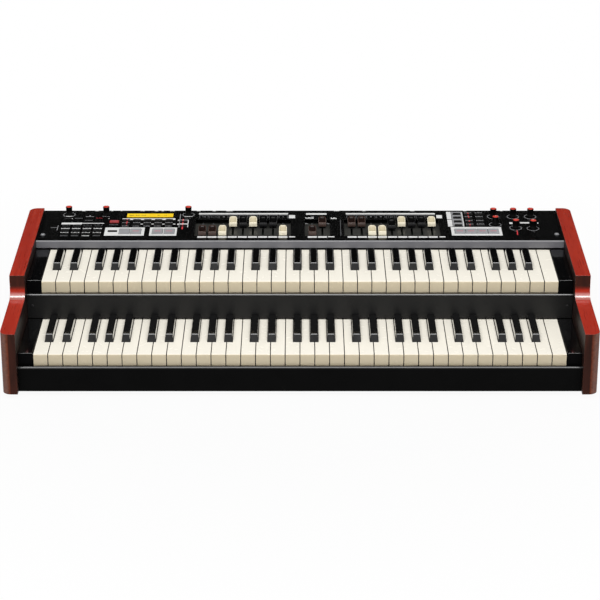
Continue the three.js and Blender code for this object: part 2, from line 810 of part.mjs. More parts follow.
// Tray under the drawbars: a slotted floor, a deeper throat behind it, and walls up to the panel
function drawbarTray() {
  const underPanel = -panelThickness - fitGap;
  const floorTop = -trayDepth;
  const throatTop = -trayThroatDepth;
  const outline = [
    [trayFront, floorTop - trayFloor],
    [trayThroat, floorTop - trayFloor],
    [trayThroat, throatTop - trayFloor],
    [trayBack, throatTop - trayFloor],
    [trayBack, underPanel],
    [trayBack - trayWall, underPanel],
    [trayBack - trayWall, throatTop],
    [trayThroat + trayWall, throatTop],
    [trayThroat + trayWall, floorTop],
    [trayFront + trayWall, floorTop],
    [trayFront + trayWall, underPanel],
    [trayFront, underPanel],
  ];
  const gaps = drawbarWindows.slice(1).map(({ x0: next }, i) => [drawbarWindows[i].x1, next]);
  const walls = [[trayLeft, trayLeft + trayWall], ...gaps, [trayRight - trayWall, trayRight]];
  const filled = outline.slice(0, 5).concat([[trayFront, underPanel]]);
  const pieces = [
    alongX(outline, trayLeft, trayRight),
    ...walls.map(([left, right]) => alongX(filled, left, right)),
  ];
  const slotHalf = bladeWidth / 2 + bladeSlotGap;
  const slotFront = drawbarInFront - drawbarTravel + drawbarCapLength / 2 - 2 * bladeSlotGap;
  const slotBottom = floorTop + bladeRise - bladeHeight - bladeSlotGap;
  const slots = drawbars.map(({ x }) => block(x - slotHalf, x + slotHalf, slotFront,
    trayThroat + trayWall + cutOverrun, slotBottom, underPanel));
  return toGeometry(carved(joined(pieces), slots));
}

function knob() {
  const bottom = knobSeatGap;
  const profile = [
    [0, -knobShaftDrop],
    [knobShaftRadius, -knobShaftDrop],
    [knobShaftRadius, bottom],
    [knobBaseRadius, bottom],
    [knobBaseRadius, bottom + knobSkirt],
    [knobTopRadius, knobHeight - knobBevel],
    [knobTopRadius - knobBevel, knobHeight],
    [0, knobHeight],
  ];
  const turned = new THREE.LatheGeometry(profile.map(([r, z]) => new THREE.Vector2(r, z)), knobSides);
  const pointer = block(-pointerWidth / 2, pointerWidth / 2, 0, knobTopRadius + pointerRise,
    bottom + knobSkirt, knobHeight - knobBevel);
  return toGeometry(toSolid(turned.rotateX(Math.PI / 2)).add(toSolid(pointer)));
}

function controlPanel() {
  const front = trimThickness + fitGap;
  const plate = block(-innerHalf, innerHalf, front, panelDepth, -panelThickness, 0);
  const bottom = -panelThickness - cutOverrun;
  const cuts = [standingBlock(displayX, displayY, displayWidth, displayDepth, bottom, cutOverrun)];
  for (const { x0, x1 } of drawbarWindows) {
    cuts.push(block(x0, x1, windowFront, windowBack, bottom, cutOverrun));
  }
  for (const { x, y, width, depth } of Object.values(buttonBanks).flat(2)) {
    cuts.push(standingBlock(x, y, width + 2 * buttonGap, depth + 2 * buttonGap, bottom, cutOverrun));
  }
  cuts.push(...knobHoles(bottom, cutOverrun));
  return toGeometry(carved(toSolid(plate), cuts));
}

// Display module: glass in the panel's window, on a frame that is wider than the window
function displayModule() {
  const under = -panelThickness - fitGap;
  return toGeometry(joined([
    standingBlock(displayX, displayY, displayWidth - 2 * fitGap, displayDepth - 2 * fitGap,
      under - cutOverrun, -displaySink),
    standingBlock(displayX, displayY, displayWidth + 2 * displayLip, displayDepth + 2 * displayLip,
      under - displayHeight, under),
  ]));
}

// Board under the panel, on four posts
function panelBoard() {
  const half = innerHalf - boardSideInset;
  const pieces = [
    block(-half, half, boardInset, panelDepth - boardInset, -boardDrop - boardThickness, -boardDrop),
  ];
  for (const place of postPlaceShares) {
    const [x, y] = onPanel(place);
    pieces.push(standingBlock(x, y, postSize, postSize, -boardDrop - boardThickness,
      -panelThickness - fitGap));
  }
  return toGeometry(joined(pieces));
}

function addPanel() {
  addPiece(placedGroup(organ, 0, trimY, trimZ), 'panel_trim', trimBar(), 'grey');
  const panel = placedGroup(organ, 0, trimY, panelZ, panelAngle);
  addPiece(panel, 'control_panel', controlPanel(), 'blackMetal');
  addPiece(panel, 'display_window', displayModule(), 'amber');
  addPiece(panel, 'drawbar_tray', drawbarTray(), 'blackPlastic');
  addPiece(panel, 'panel_board', panelBoard(), 'board');
  for (const [name, clusters] of Object.entries(buttonBanks)) {
    addPiece(panel, name, buttonBank(clusters), 'rubber');
  }
  for (const { name, x, out, colour } of drawbars) {
    const piece = addPiece(panel, name, drawbar(), colour);
    piece.position.set(x, drawbarInFront - out, -trayDepth);
  }
  for (const [name, [x, y]] of Object.entries(knobPlaces)) {
    addPiece(panel, name, knob(), 'blackPlastic').position.set(x, y, 0);
  }
}

// Places on the rear panel: X across and Z up
const rearHeight = rearTopZ - rearBottomZ;
const onRear = ([acrossShare, upShare]) => [acrossShare * panelWidth, rearBottomZ + upShare * rearHeight];
const jackBlockWidth = jackCount * jackPitch;
const [jackX, jackZ] = onRear(jackPlaceShare);
const [inletX, inletZ] = onRear(inletPlaceShare);
const [rockerX, rockerZ] = onRear(rockerPlaceShare);

// Box around a middle in X and Z, between two places in Y
function rearBlock(x, z, width, height, y0, y1) {
  return block(x - width / 2, x + width / 2, y0, y1, z - height / 2, z + height / 2);
}

function rearPanel() {
  const innerY = rearY - sheetThickness;
  const path = [
    [innerY - rearFlange, rearBottomZ],
    [rearY, rearBottomZ],
    [rearY, rearTopZ],
    [innerY - rearTopFlange, rearTopZ - (sheetThickness + rearTopFlange) * Math.tan(panelAngle)],
  ];
  const plate = alongX(sheetOutline(path, sheetThickness), -innerHalf, innerHalf);
  const from = innerY - cutOverrun;
  const to = rearY + cutOverrun;
  return toGeometry(carved(toSolid(plate), [
    rearBlock(jackX, jackZ, jackBlockWidth + 2 * fitGap, jackBlockHeight + 2 * fitGap, from, to),
    rearBlock(inletX, inletZ, inletWidth + 2 * fitGap, inletHeight + 2 * fitGap, from, to),
    rearBlock(rockerX, rockerZ, rockerWidth + 2 * rockerSideGap, rockerHeight + 2 * rockerEndGap, from, to),
  ]));
}

// Row of jack sockets in one block, held behind the rear panel by a wider flange
function jackBlock() {
  const innerY = rearY - sheetThickness - fitGap;
  const body = joined([
    rearBlock(0, 0, jackBlockWidth, jackBlockHeight, rearY - jackBlockDepth, rearY),
    rearBlock(0, 0, jackBlockWidth + 2 * jackFlange, jackBlockHeight + 2 * jackFlange,
      innerY - jackFlange, innerY),
  ]);
  const bores = [];
  for (let i = 0; i < jackCount; i += 1) {
    const x = (i - (jackCount - 1) / 2) * jackPitch;
    const bore = new THREE.CylinderGeometry(jackBore / 2, jackBore / 2, jackBoreDepth + cutOverrun,
      jackBoreSides);
    bores.push(bore.translate(x, rearY + cutOverrun - (jackBoreDepth + cutOverrun) / 2, 0));
  }
  return toGeometry(carved(body, bores));
}

// Mains inlet with a flange outside the rear panel and three pins in its mouth
function powerInlet() {
  const body = joined([
    rearBlock(0, 0, inletWidth, inletHeight, rearY - inletDepth, rearY + fitGap + cutOverrun),
    rearBlock(0, 0, inletWidth + 2 * inletFlange, inletHeight + 2 * inletFlange,
      rearY + fitGap, rearY + fitGap + inletFlangeThickness),
  ]);
  const mouthFloor = rearY + fitGap + inletFlangeThickness - inletMouthDepth;
  const mouth = rearBlock(0, 0, inletMouthWidth, inletMouthHeight, mouthFloor,
    rearY + inletFlangeThickness + cutOverrun);
  const pinPlaces = [[-inletPinSpread, -inletPinRise], [0, inletPinRise], [inletPinSpread, -inletPinRise]];
  const pins = pinPlaces.map(([x, z]) => rearBlock(x, z, inletPinWidth, inletPinHeight,
    mouthFloor - cutOverrun, mouthFloor + inletPinLength));
  return toGeometry(carved(body, [mouth]).add(joined(pins)));
}

// Rocker of the power switch, with its pivot at the origin
function powerSwitch() {
  const halfHeight = rockerHeight / 2;
  return alongX([
    [-rockerDepth / 2, -halfHeight],
    [-rockerDepth / 2, halfHeight],
    [rockerDepth / 2, halfHeight],
    [rockerDepth / 2 - rockerBulge, 0],
    [rockerDepth / 2, -halfHeight],
  ], -rockerWidth / 2, rockerWidth / 2);
}

// Power supply: a board with its transformer and a heat sink
function powerSupply() {
  const top = boardThickness;
  return toGeometry(joined([
    standingBlock(0, 0, supplyWidth, supplyDepth, 0, top),
    standingBlock((transformerWidth - supplyWidth) / 2 + postSize, 0, transformerWidth, transformerDepth,
      0, transformerHeight),
    standingBlock(supplyWidth / 2 - postSize - heatsinkWidth, 0, heatsinkWidth, supplyDepth - 2 * postSize,
      0, heatsinkHeight),
  ]));
}

function foot() {
  const top = footHeight - fitGap;
  const profile = [
    [0, 0],
    [footRadius - footBevel, 0],
    [footRadius, footBevel],
    [footTopRadius, top],
    [0, top],
  ];
  const turned = new THREE.LatheGeometry(profile.map(([r, z]) => new THREE.Vector2(r, z)), footSides);
  return turned.rotateX(Math.PI / 2);
}

function addBody() {
  addPiece(organ, 'left_cheek', cheek(-1), 'wood');
  addPiece(organ, 'right_cheek', cheek(1), 'wood');
  addPiece(organ, 'base_tray', baseTray(), 'blackMetal');
  addPiece(organ, 'middle_fascia', fascia(), 'blackMetal');
  addPiece(organ, 'rear_panel', rearPanel(), 'blackMetal');
  addPiece(organ, 'jack_block', jackBlock(), 'blackPlastic').position.set(jackX, 0, jackZ);
  addPiece(organ, 'power_inlet', powerInlet(), 'blackPlastic').position.set(inletX, 0, inletZ);
  const rocker = addPiece(organ, 'power_switch', powerSwitch(), 'blackPlastic');
  rocker.position.set(rockerX, rearY - sheetThickness / 2, rockerZ);
  rocker.rotation.x = -THREE.MathUtils.degToRad(rockerTilt);
  const supply = addPiece(organ, 'power_supply', powerSupply(), 'board');
  supply.position.set(innerHalf - supplyWidth / 2 - postSize, rearY - supplyDepth / 2 - inletDepth - postSize,
    floorZ + fitGap);
  for (const [name, side, end] of [
    ['front_left_foot', -1, -1],
    ['front_right_foot', 1, -1],
    ['rear_left_foot', -1, 1],
    ['rear_right_foot', 1, 1],
  ]) {
    const piece = addPiece(organ, name, foot(), 'rubber');
    piece.position.set(side * (innerHalf - footInset), end * (backY - footInset), 0);
  }
}

addBody();
const lowerSharpEnd = lowerKeyShow - lowerSharpEndGap;
const upperSharpEnd = upperKeyShow - upperSharpEndGap;
addManual('lower', lowerKeyY, lowerKeyZ, lowerKeyShow, lowerSharpEnd, lowerKeyZ - floorZ - fitGap);
addManual('upper', upperKeyY, upperKeyZ, upperKeyShow, upperSharpEnd, shelfDrop - fitGap);
addPanel();

export default organ;
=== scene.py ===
# Two-manual stage organ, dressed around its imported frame
# Lengths are in millimetres and are made metres as each mesh is finished
import math

import bmesh
import bpy
from mathutils import Matrix, Vector


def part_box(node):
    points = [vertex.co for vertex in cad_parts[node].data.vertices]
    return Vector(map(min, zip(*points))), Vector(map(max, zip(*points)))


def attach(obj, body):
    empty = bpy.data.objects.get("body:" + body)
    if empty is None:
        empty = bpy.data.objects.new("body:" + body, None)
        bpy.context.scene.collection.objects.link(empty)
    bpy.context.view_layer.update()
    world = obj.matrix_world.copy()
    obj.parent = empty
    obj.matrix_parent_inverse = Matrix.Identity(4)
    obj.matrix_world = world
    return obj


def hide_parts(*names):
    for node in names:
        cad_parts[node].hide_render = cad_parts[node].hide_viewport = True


MM = 0.001

# Places shared with the part's source
HALF_DEPTH = 226.5
BASE_Z = 8.0
CHEEK_INNER = 447.0
CHEEK_THICKNESS = 24.5
PITCH = 23.5
NATURALS = 36
MANUAL_HALF = NATURALS * PITCH / 2
TRIM_Y = 84.5
PANEL_Z = 149.8
PANEL_SLOPE = math.radians(1.64)
PANEL_WIDTH = 894.0
PANEL_DEPTH = 139.157
DISPLAY_FRONT = 103.06
REAR_Y = 223.6
PANEL_PLACE = Matrix.Translation((0, TRIM_Y, PANEL_Z)) @ Matrix.Rotation(PANEL_SLOPE, 4, "X")

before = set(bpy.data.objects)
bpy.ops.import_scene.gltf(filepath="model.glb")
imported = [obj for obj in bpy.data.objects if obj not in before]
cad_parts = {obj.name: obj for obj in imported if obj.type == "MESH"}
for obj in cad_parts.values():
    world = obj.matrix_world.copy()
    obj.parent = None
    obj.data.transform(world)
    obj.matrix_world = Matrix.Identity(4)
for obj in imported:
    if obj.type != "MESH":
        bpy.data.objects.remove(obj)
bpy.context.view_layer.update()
scene = bpy.context.scene


def add_camera():
    """Camera at the photograph's viewing angle."""
    data = bpy.data.cameras.new("camera")
    data.sensor_width = 36.0
    data.lens = 130.8
    data.shift_y = 0.00075
    data.clip_end = 60.0
    camera = bpy.data.objects.new("camera", data)
    camera.location = (0, -3.3621, 1.4616)
    camera.rotation_euler = (math.radians(67.6), 0, 0)
    scene.collection.objects.link(camera)
    scene.camera = camera


add_camera()


# Materials
def colour(red, green, blue):
    """Linear colour of a shade given in levels from 0 to 255."""
    def linear(level):
        share = level / 255
        return share / 12.92 if share <= 0.04045 else ((share + 0.055) / 1.055) ** 2.4

    return (linear(red), linear(green), linear(blue), 1)


def new_node(tree, kind, **values):
    """Node of a kind with values for its inputs, where a _ in a name stands for a space."""
    node = tree.nodes.new("ShaderNode" + kind)
    for name, value in values.items():
        node.inputs[name.replace("_", " ")].default_value = value
    return node


def calculated(tree, operation, *values):
    """Result of a Math node on one or two values of a node tree."""
    node = new_node(tree, "Math")
    node.operation = operation
    for value, socket in zip(values, node.inputs):
        tree.links.new(value, socket)
    return node.outputs["Value"]


class Surface:
    """Material with a Principled shader, and the nodes that feed it."""

    def __init__(self, name, roughness=0.4, metallic=0.0, specular=0.5, coat=0.0, coat_roughness=0.1,
                 coat_ior=1.5):
        self.material = bpy.data.materials.new(name)
        self.material.use_nodes = True
        self.tree = self.material.node_tree
        self.shader = self.tree.nodes["Principled BSDF"]
        self.set("Roughness", roughness)
        self.set("Metallic", metallic)
        self.set("Specular IOR Level", specular)
        self.set("Coat Weight", coat)
        self.set("Coat Roughness", coat_roughness)
        self.set("Coat IOR", coat_ior)
        self.coords = new_node(self.tree, "TexCoord")

    def set(self, socket, value):
        self.shader.inputs[socket].default_value = value

    def link(self, output, socket):
        self.tree.links.new(output, socket)

    def feed(self, socket, output):
        self.link(output, self.shader.inputs[socket])

    def noise(self, scale, detail=3.0, stretch=(1, 1, 1), distortion=0.0):
        mapping = new_node(self.tree, "Mapping", Scale=stretch)
        self.link(self.coords.outputs["Object"], mapping.inputs["Vector"])
        texture = new_node(self.tree, "TexNoise", Scale=scale, Detail=detail, Distortion=distortion)
        self.link(mapping.outputs["Vector"], texture.inputs["Vector"])
        return texture.outputs["Fac"]

    def spread(self, value, low, high, to_low=0.0, to_high=1.0):
        """Value mapped from one range to another, and held at its ends."""
        node = new_node(self.tree, "MapRange", From_Min=low, From_Max=high, To_Min=to_low, To_Max=to_high)
        self.link(value, node.inputs["Value"])
        return node.outputs["Result"]

    def mix(self, factor, first, second):
        """Mix of two colours, each a shade in levels or the output of a node."""
        node = new_node(self.tree, "Mix")
        node.data_type = "RGBA"
        self.link(factor, node.inputs["Factor"])
        for socket, value in (("A", first), ("B", second)):
            target = next(s for s in node.inputs if s.name == socket and s.type == "RGBA")
            if isinstance(value, tuple):
                target.default_value = colour(*value)
            else:
                self.link(value, target)
        return next(s for s in node.outputs if s.type == "RGBA")

    def axis_of_normal(self, axis):
        """How squarely a face looks along an axis, either way: 0 is not at all and 1 is fully."""
        split = new_node(self.tree, "SeparateXYZ")
        self.link(self.coords.outputs["Normal"], split.inputs["Vector"])
        return calculated(self.tree, "ABSOLUTE", split.outputs[axis])

    def relief(self, height, strength, distance):
        node = new_node(self.tree, "Bump", Strength=strength, Distance=distance)
        self.link(height, node.inputs["Height"])
        self.feed("Normal", node.outputs["Normal"])


def plain(name, first, second, rough=(0.35, 0.45), scale=30.0, stretch=(1, 1, 1), grain=1500.0,
          relief=0.1, crest=0.0, **shader):
    """Surface whose colour and roughness drift between two values, with a fine relief.

    A crest above zero is a lacquer coat of that weight on the faces that look up.
    """
    surface = Surface(name, **shader)
    if crest:
        surface.feed("Coat Weight", surface.spread(surface.axis_of_normal("Z"), 0.5, 0.68, 0, crest))
    drift = surface.spread(surface.noise(scale, 4, stretch), 0.3, 0.7)
    surface.feed("Base Color", surface.mix(drift, first, second))
    wear = surface.noise(scale * 3, 3, stretch)
    surface.feed("Roughness", surface.spread(wear, 0.3, 0.7, *rough))
    surface.relief(surface.noise(grain, 2, stretch), relief, 0.0002)
    return surface.material


def stained_wood():
    """Red-stained, lacquered wood with its grain along Y, browner on its upright and rounded parts.

    The upright faces are darker partly as end grain and partly as painted shade; the outer sides are
    browner as painted shade and painted reflection; the cove and rounded top edges carry a painted
    highlight.
    """
    wood = Surface("cheek_wood", specular=0.05, coat=1, coat_roughness=0.2, coat_ior=2.1)
    upward = wood.axis_of_normal("Z")
    endward = wood.axis_of_normal("Y")
    sideward = wood.axis_of_normal("X")
    polished = calculated(wood.tree, "MULTIPLY", wood.spread(sideward, 0.15, 0.5, 0, 0.32),
                          wood.spread(sideward, 0.6, 0.92, 1, 0.15))
    wood.feed("Coat Weight", calculated(wood.tree, "MAXIMUM", wood.spread(upward, 0.3, 0.6), polished))

    along = (1, 0.035, 1)
    streaks = wood.spread(wood.noise(210, 4, along, 0.4), 0.32, 0.68)
    broad = wood.spread(wood.noise(26, 3, (1, 0.12, 1), 0.6), 0.35, 0.7)
    pores = wood.spread(wood.noise(900, 2, (1, 0.02, 1)), 0.62, 0.72)
    face = wood.mix(streaks, (160, 39, 27), (192, 62, 42))
    face = wood.mix(broad, face, (176, 49, 34))
    face = wood.mix(pores, face, (108, 20, 14))

    # Faces that look forward and back take a dark brown: partly end grain, partly painted shade
    rings = wood.spread(wood.noise(70, 4, (1, 1, 0.16), 1.2), 0.3, 0.7)
    end = wood.mix(rings, (50, 31, 26), (78, 42, 34))
    # The outer sides take a duller brown: painted shade and painted reflection
    flank = wood.mix(streaks, (102, 56, 40), (130, 72, 50))
    shade = wood.mix(wood.spread(endward, 0.972, 0.998), face, end)
    shade = wood.mix(wood.spread(sideward, 0.04, 0.2), shade, flank)

    # Pale band on the cove and the rounded top edges: a painted highlight
    edge = calculated(wood.tree, "MULTIPLY", wood.spread(upward, 0.35, 0.75),
                      wood.spread(upward, 0.93, 0.995, 1, 0))
    painted_highlight = wood.spread(edge, 0, 1, 0, 0.5)
    wood.feed("Base Color", wood.mix(painted_highlight, shade, (186, 150, 142)))
    wood.feed("Roughness", wood.spread(streaks, 0, 1, 0.30, 0.42))
    wood.relief(wood.noise(420, 3, along), 0.08, 0.0003)
    return wood.material


def key_ivory():
    """Ivory-white key plastic, darker and warmer on the fronts as painted shade."""
    ivory = Surface("natural_ivory", roughness=0.24, specular=0.4)
    drift = ivory.spread(ivory.noise(22, 3), 0.3, 0.7)
    top = ivory.mix(drift, (244, 239, 226), (246, 241, 228))
    # Darker, warmer cream on the fronts: painted shade
    apron = ivory.mix(drift, (222, 208, 178), (226, 212, 182))
    ivory.feed("Base Color", ivory.mix(ivory.spread(ivory.axis_of_normal("Y"), 0.4, 0.9), top, apron))
    ivory.feed("Roughness", ivory.spread(ivory.noise(90, 3), 0.3, 0.7, 0.24, 0.28))
    ivory.relief(ivory.noise(700, 2), 0.01, 0.0001)
    return ivory.material


def trim_paint():
    """Satin grey paint, paler on the edge that looks up as a painted highlight."""
    paint = Surface("trim_grey", specular=0.1)
    drift = paint.spread(paint.noise(40, 4, (0.04, 1, 1)), 0.3, 0.7)
    face = paint.mix(drift, (126, 126, 131), (132, 132, 137))
    # Paler grey on faces that look up: a painted highlight on the top edge
    upward = paint.spread(paint.axis_of_normal("Z"), 0.2, 0.6)
    paint.feed("Base Color", paint.mix(upward, face, (158, 158, 160)))
    paint.feed("Roughness", paint.spread(drift, 0, 1, 0.55, 0.65))
    paint.relief(paint.noise(2000, 2), 0.08, 0.0002)
    return paint.material


def lit_display():
    """Yellow display that shines a little, in two close shades."""
    lit = Surface("display_amber", roughness=0.2)
    glow = lit.mix(lit.spread(lit.noise(35, 2), 0.3, 0.7), (234, 190, 28), (246, 210, 50))
    lit.feed("Base Color", glow)
    lit.feed("Emission Color", glow)
    lit.set("Emission Strength", 0.2)
    lit.relief(lit.noise(2400, 1), 0.03, 0.0001)
    return lit.material


def cap_plastic(name, first, second, specular=0.5):
    return plain(name, first, second, (0.22, 0.3), scale=60, relief=0.04, specular=specular)


def button_plastic(name, first, second, **options):
    return plain(name, first, second, (0.4, 0.5), scale=80, **options)


def screw_metal(name, first, second, rough, specular=0.5):
    return plain(name, first, second, rough, scale=200, relief=0.06, specular=specular)


def ink(name, first, second):
    return plain(name, first, second, (0.45, 0.55), scale=70, relief=0.05)


WOOD = stained_wood()
WOOD_INNER = plain("inner_wood", (30, 18, 15), (44, 26, 21), scale=60, stretch=(1, 0.05, 1), grain=420,
                   specular=0.25)
IVORY = key_ivory()
AMBER = lit_display()
# Sides of the naturals in dark brown: painted shade in the gaps between the keys
IVORY_GAP_SHADE = plain("natural_gap_shade", (66, 50, 36), (80, 62, 45), (0.85, 0.95), specular=0)
EBONY = plain("sharp_black", (8, 8, 8), (12, 12, 13), (0.11, 0.15), grain=1100, relief=0.02, specular=0.8)
EBONY_FRONT = plain("sharp_front_black", (29, 29, 29), (46, 46, 46), (0.5, 0.6), specular=0.1)
EBONY_SIDE = plain("sharp_side_black", (9, 9, 9), (14, 14, 14), (0.1, 0.14), relief=0.02, specular=1,
                   coat=1, coat_roughness=0.06, coat_ior=2.4)
CASE = plain("case_black", (9, 9, 9), (12, 12, 12), (0.4, 0.5), grain=2200, relief=0.08, crest=0.85,
             specular=0.03, coat_roughness=0.13)
FASCIA = plain("fascia_black", (15, 15, 15), (19, 19, 19), (0.36, 0.44), scale=12, grain=2400,
               relief=0.04, crest=1, specular=0.35, coat_roughness=0.12)
PANEL = plain("panel_black", (9, 9, 9), (12, 12, 12), (0.2, 0.26), grain=2600, relief=0.04,
              specular=0.35)
BLOCK = plain("key_block_black", (7, 7, 8), (10, 10, 11), (0.4, 0.5), grain=1800, relief=0.02, crest=1,
              specular=0.03, coat_ior=1.9)
GLASS = plain("display_glass", (8, 8, 8), (11, 11, 11), (0.12, 0.18), relief=0.02, specular=0.4)
MOULDING = plain("moulding_black", (20, 20, 21), (27, 27, 28), (0.45, 0.6), grain=1600, relief=0.2,
                 specular=0.3)
TRAY = plain("tray_black", (48, 48, 46), (60, 60, 57), (0.3, 0.4), relief=0.08, specular=0.3)
TRIM = trim_paint()
# Dark felt strip: real felt that also stands in for the shade under the trim
SHADE_FELT = plain("trim_shade_felt", (14, 14, 14), (24, 24, 24), (0.9, 1), grain=900, relief=0.6, specular=0)
STEEL = plain("keybed_steel", (150, 152, 155), (168, 170, 173), (0.28, 0.4), scale=60,
              stretch=(0.1, 1, 1), grain=1200, metallic=0.9)
BRIGHT = plain("bright_steel", (176, 178, 181), (192, 194, 197), (0.2, 0.3), scale=200, metallic=0.9)
# The scoop materials are darker copies of the cap colours: painted shade in the scooped hollows
BROWN = cap_plastic("brown_cap", (62, 46, 40), (74, 55, 47), 0.4)
BROWN_SCOOP_SHADE = cap_plastic("brown_scoop_shade", (27, 17, 15), (34, 22, 19), 0.3)
CREAM = cap_plastic("cream_cap", (238, 229, 203), (243, 235, 211))
CREAM_SCOOP_SHADE = cap_plastic("cream_scoop_shade", (198, 187, 158), (207, 196, 167))
BLACK_CAP = cap_plastic("black_cap", (10, 10, 11), (14, 14, 15), 0.25)
BLACK_SCOOP_SHADE = cap_plastic("black_scoop_shade", (8, 8, 8), (11, 11, 11), 0.2)
KNOB = plain("knob_black", (4, 4, 4), (6, 6, 6), (0.3, 0.38), scale=90, grain=1400, relief=0.06,
             specular=0.1)
KNOB_RED = plain("knob_red", (196, 56, 44), (212, 70, 55), scale=120, relief=0.06)
RUBBER = button_plastic("button_rubber", (16, 16, 16), (23, 23, 23), grain=1800, specular=0.2)
PAD_GREY = button_plastic("pad_grey", (148, 148, 151), (162, 162, 165))
BUTTON_RED = button_plastic("button_red", (158, 44, 42), (174, 56, 54))
PRINT_WHITE = ink("print_white", (216, 216, 215), (228, 228, 227))
PRINT_GREY = ink("print_grey", (140, 140, 142), (152, 152, 154))
PRINT_DIM = ink("print_dim", (96, 96, 98), (112, 112, 114))
PRINT_RED = ink("print_red", (206, 52, 60), (222, 66, 72))
# Rose ink, also used for the painted highlight lines on the menu button
ROSE_PRINT_AND_HIGHLIGHT = ink("rose_print_and_highlight", (186, 112, 124), (200, 126, 138))
INK = plain("display_ink", (70, 52, 10), (84, 62, 14), (0.3, 0.4), relief=0.04)
BOARD = plain("board_green", (8, 22, 14), (12, 30, 19), (0.4, 0.5), grain=800)
SCREW = screw_metal("screw_grey", (148, 149, 151), (166, 167, 169), (0.25, 0.35))
WASHER = screw_metal("washer_grey", (62, 62, 64), (76, 76, 78), (0.3, 0.4), 0.3)
SCREW_DARK = screw_metal("screw_dark", (30, 30, 31), (40, 40, 41), (0.35, 0.45), 0.3)
FOOT = plain("foot_rubber", (24, 24, 24), (31, 31, 31), (0.75, 0.9), grain=900, relief=0.4)


# Geometry
def round_edges(piece, width, segments, limit):
    rounding = piece.modifiers.new("rounding", "BEVEL")
    rounding.width = width * MM
    rounding.segments = segments
    rounding.limit_method = "ANGLE"
    rounding.angle_limit = math.radians(limit)
    rounding.harden_normals = True


def mesh_of(source, name):
    """Mesh made from a bmesh, which is freed."""
    mesh = bpy.data.meshes.new(name)
    source.to_mesh(mesh)
    source.free()
    return mesh


def finish_piece(name, source, materials, body, replaces=(), place=None, bevel=0.0, segments=2,
                 limit=35.0):
    """Makes a piece from a bmesh in millimetres and lets it ride on its body."""
    bmesh.ops.recalc_face_normals(source, faces=source.faces)
    mesh = mesh_of(source, name)
    if place is not None:
        mesh.transform(place)
    mesh.transform(Matrix.Scale(MM, 4))
    for material in materials:
        mesh.materials.append(material)
    piece = bpy.data.objects.new(name, mesh)
    scene.collection.objects.link(piece)
    mesh.shade_smooth()
    if bevel:
        round_edges(piece, bevel, segments, limit)
    else:
        mesh.set_sharp_from_angle(angle=math.radians(limit))
    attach(piece, body)
    if replaces:
        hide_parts(*replaces)


def finish_on_panel(name, source, materials, body="case", replaces=(), limit=30.0,
                    bevel=0.0):
    """Makes a piece whose mesh lies in the panel's own frame: X across, Y up the slope, Z off it."""
    finish_piece(name, source, materials, body, replaces, PANEL_PLACE, bevel, limit=limit)


def dress(node, material, bevel=0.0):
    """Gives a node of the frame its material and rounds its sharp edges."""
    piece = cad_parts[node]
    piece.data.materials.clear()
    piece.data.materials.append(material)
    if bevel:
        piece.modifiers.new("weld", "WELD").merge_threshold = 0.00001
        round_edges(piece, bevel, 2, 35)
        piece.modifiers.new("flat_faces", "WEIGHTED_NORMAL").weight = 100
        piece.data.shade_smooth()


def add_block(source, x0, x1, y0, y1, z0, z1, material=0):
    corners = [source.verts.new((x, y, z)) for z in (z0, z1) for y in (y0, y1) for x in (x0, x1)]
    for loop in ((0, 1, 3, 2), (4, 6, 7, 5), (0, 4, 5, 1), (2, 3, 7, 6), (0, 2, 6, 4), (1, 5, 7, 3)):
        source.faces.new([corners[i] for i in loop]).material_index = material


def add_rings(source, rings, material=0, looped=False):
    """Skin through rings of equal length, either capped at both ends or looped back to the first."""
    loops = [[source.verts.new(point) for point in ring] for ring in rings]
    count = len(loops[0])
    for low, high in zip(loops, loops[1:] + loops[:1] if looped else loops[1:]):
        for i in range(count):
            j = (i + 1) % count
            source.faces.new((low[i], low[j], high[j], high[i])).material_index = material
    if not looped:
        source.faces.new(loops[0][::-1]).material_index = material
        source.faces.new(loops[-1]).material_index = material
    return loops


def circle(radius, sides, z, centre=(0.0, 0.0), ripple=0.0, ripples=0):
    points = []
    for i in range(sides):
        turn = 2 * math.pi * i / sides
        reach = radius - ripple * (0.5 - 0.5 * math.cos(ripples * turn))
        points.append((centre[0] + reach * math.cos(turn), centre[1] + reach * math.sin(turn), z))
    return points


def take_mesh(source, mesh, place):
    """Moves a small mesh to its place and adds it to a larger one."""
    mesh.transform(place)
    source.from_mesh(mesh)
    bpy.data.meshes.remove(mesh)


# Wooden cheeks: two levels with a cove between them, and round outer corners at the front and back
CHEEK_CORNER = 14.0
CHEEK_FLAT = CHEEK_THICKNESS - CHEEK_CORNER
CORNER_STEPS = 12
STEP_Y = -80.1
COVE_RUN = 16.0
COVE_RISE = 24.0
COVE_STEPS = 18


def low_top(y):
    return 111.4 + (y + HALF_DEPTH) * math.tan(math.radians(1.3))


def high_top(y):
    return 152.2 + (y - STEP_Y) * math.tan(math.radians(0.95))


def cheek_outline(inset):
    """Side view of a cheek, drawn in by the inset at the front and back."""
    front = -HALF_DEPTH + inset
    rear = HALF_DEPTH - inset
    start = Vector((STEP_Y - COVE_RUN, low_top(STEP_Y - COVE_RUN)))
    bend = Vector((STEP_Y, low_top(STEP_Y)))
    stop = Vector((STEP_Y, low_top(STEP_Y) + COVE_RISE))
    points = [(front, BASE_Z), (front, low_top(front))]
    for i in range(COVE_STEPS + 1):
        t = i / COVE_STEPS
        points.append(tuple(start * (1 - t) ** 2 + bend * 2 * t * (1 - t) + stop * t ** 2))
    return points + [(STEP_Y, high_top(STEP_Y)), (rear, high_top(rear)), (rear, BASE_Z)]


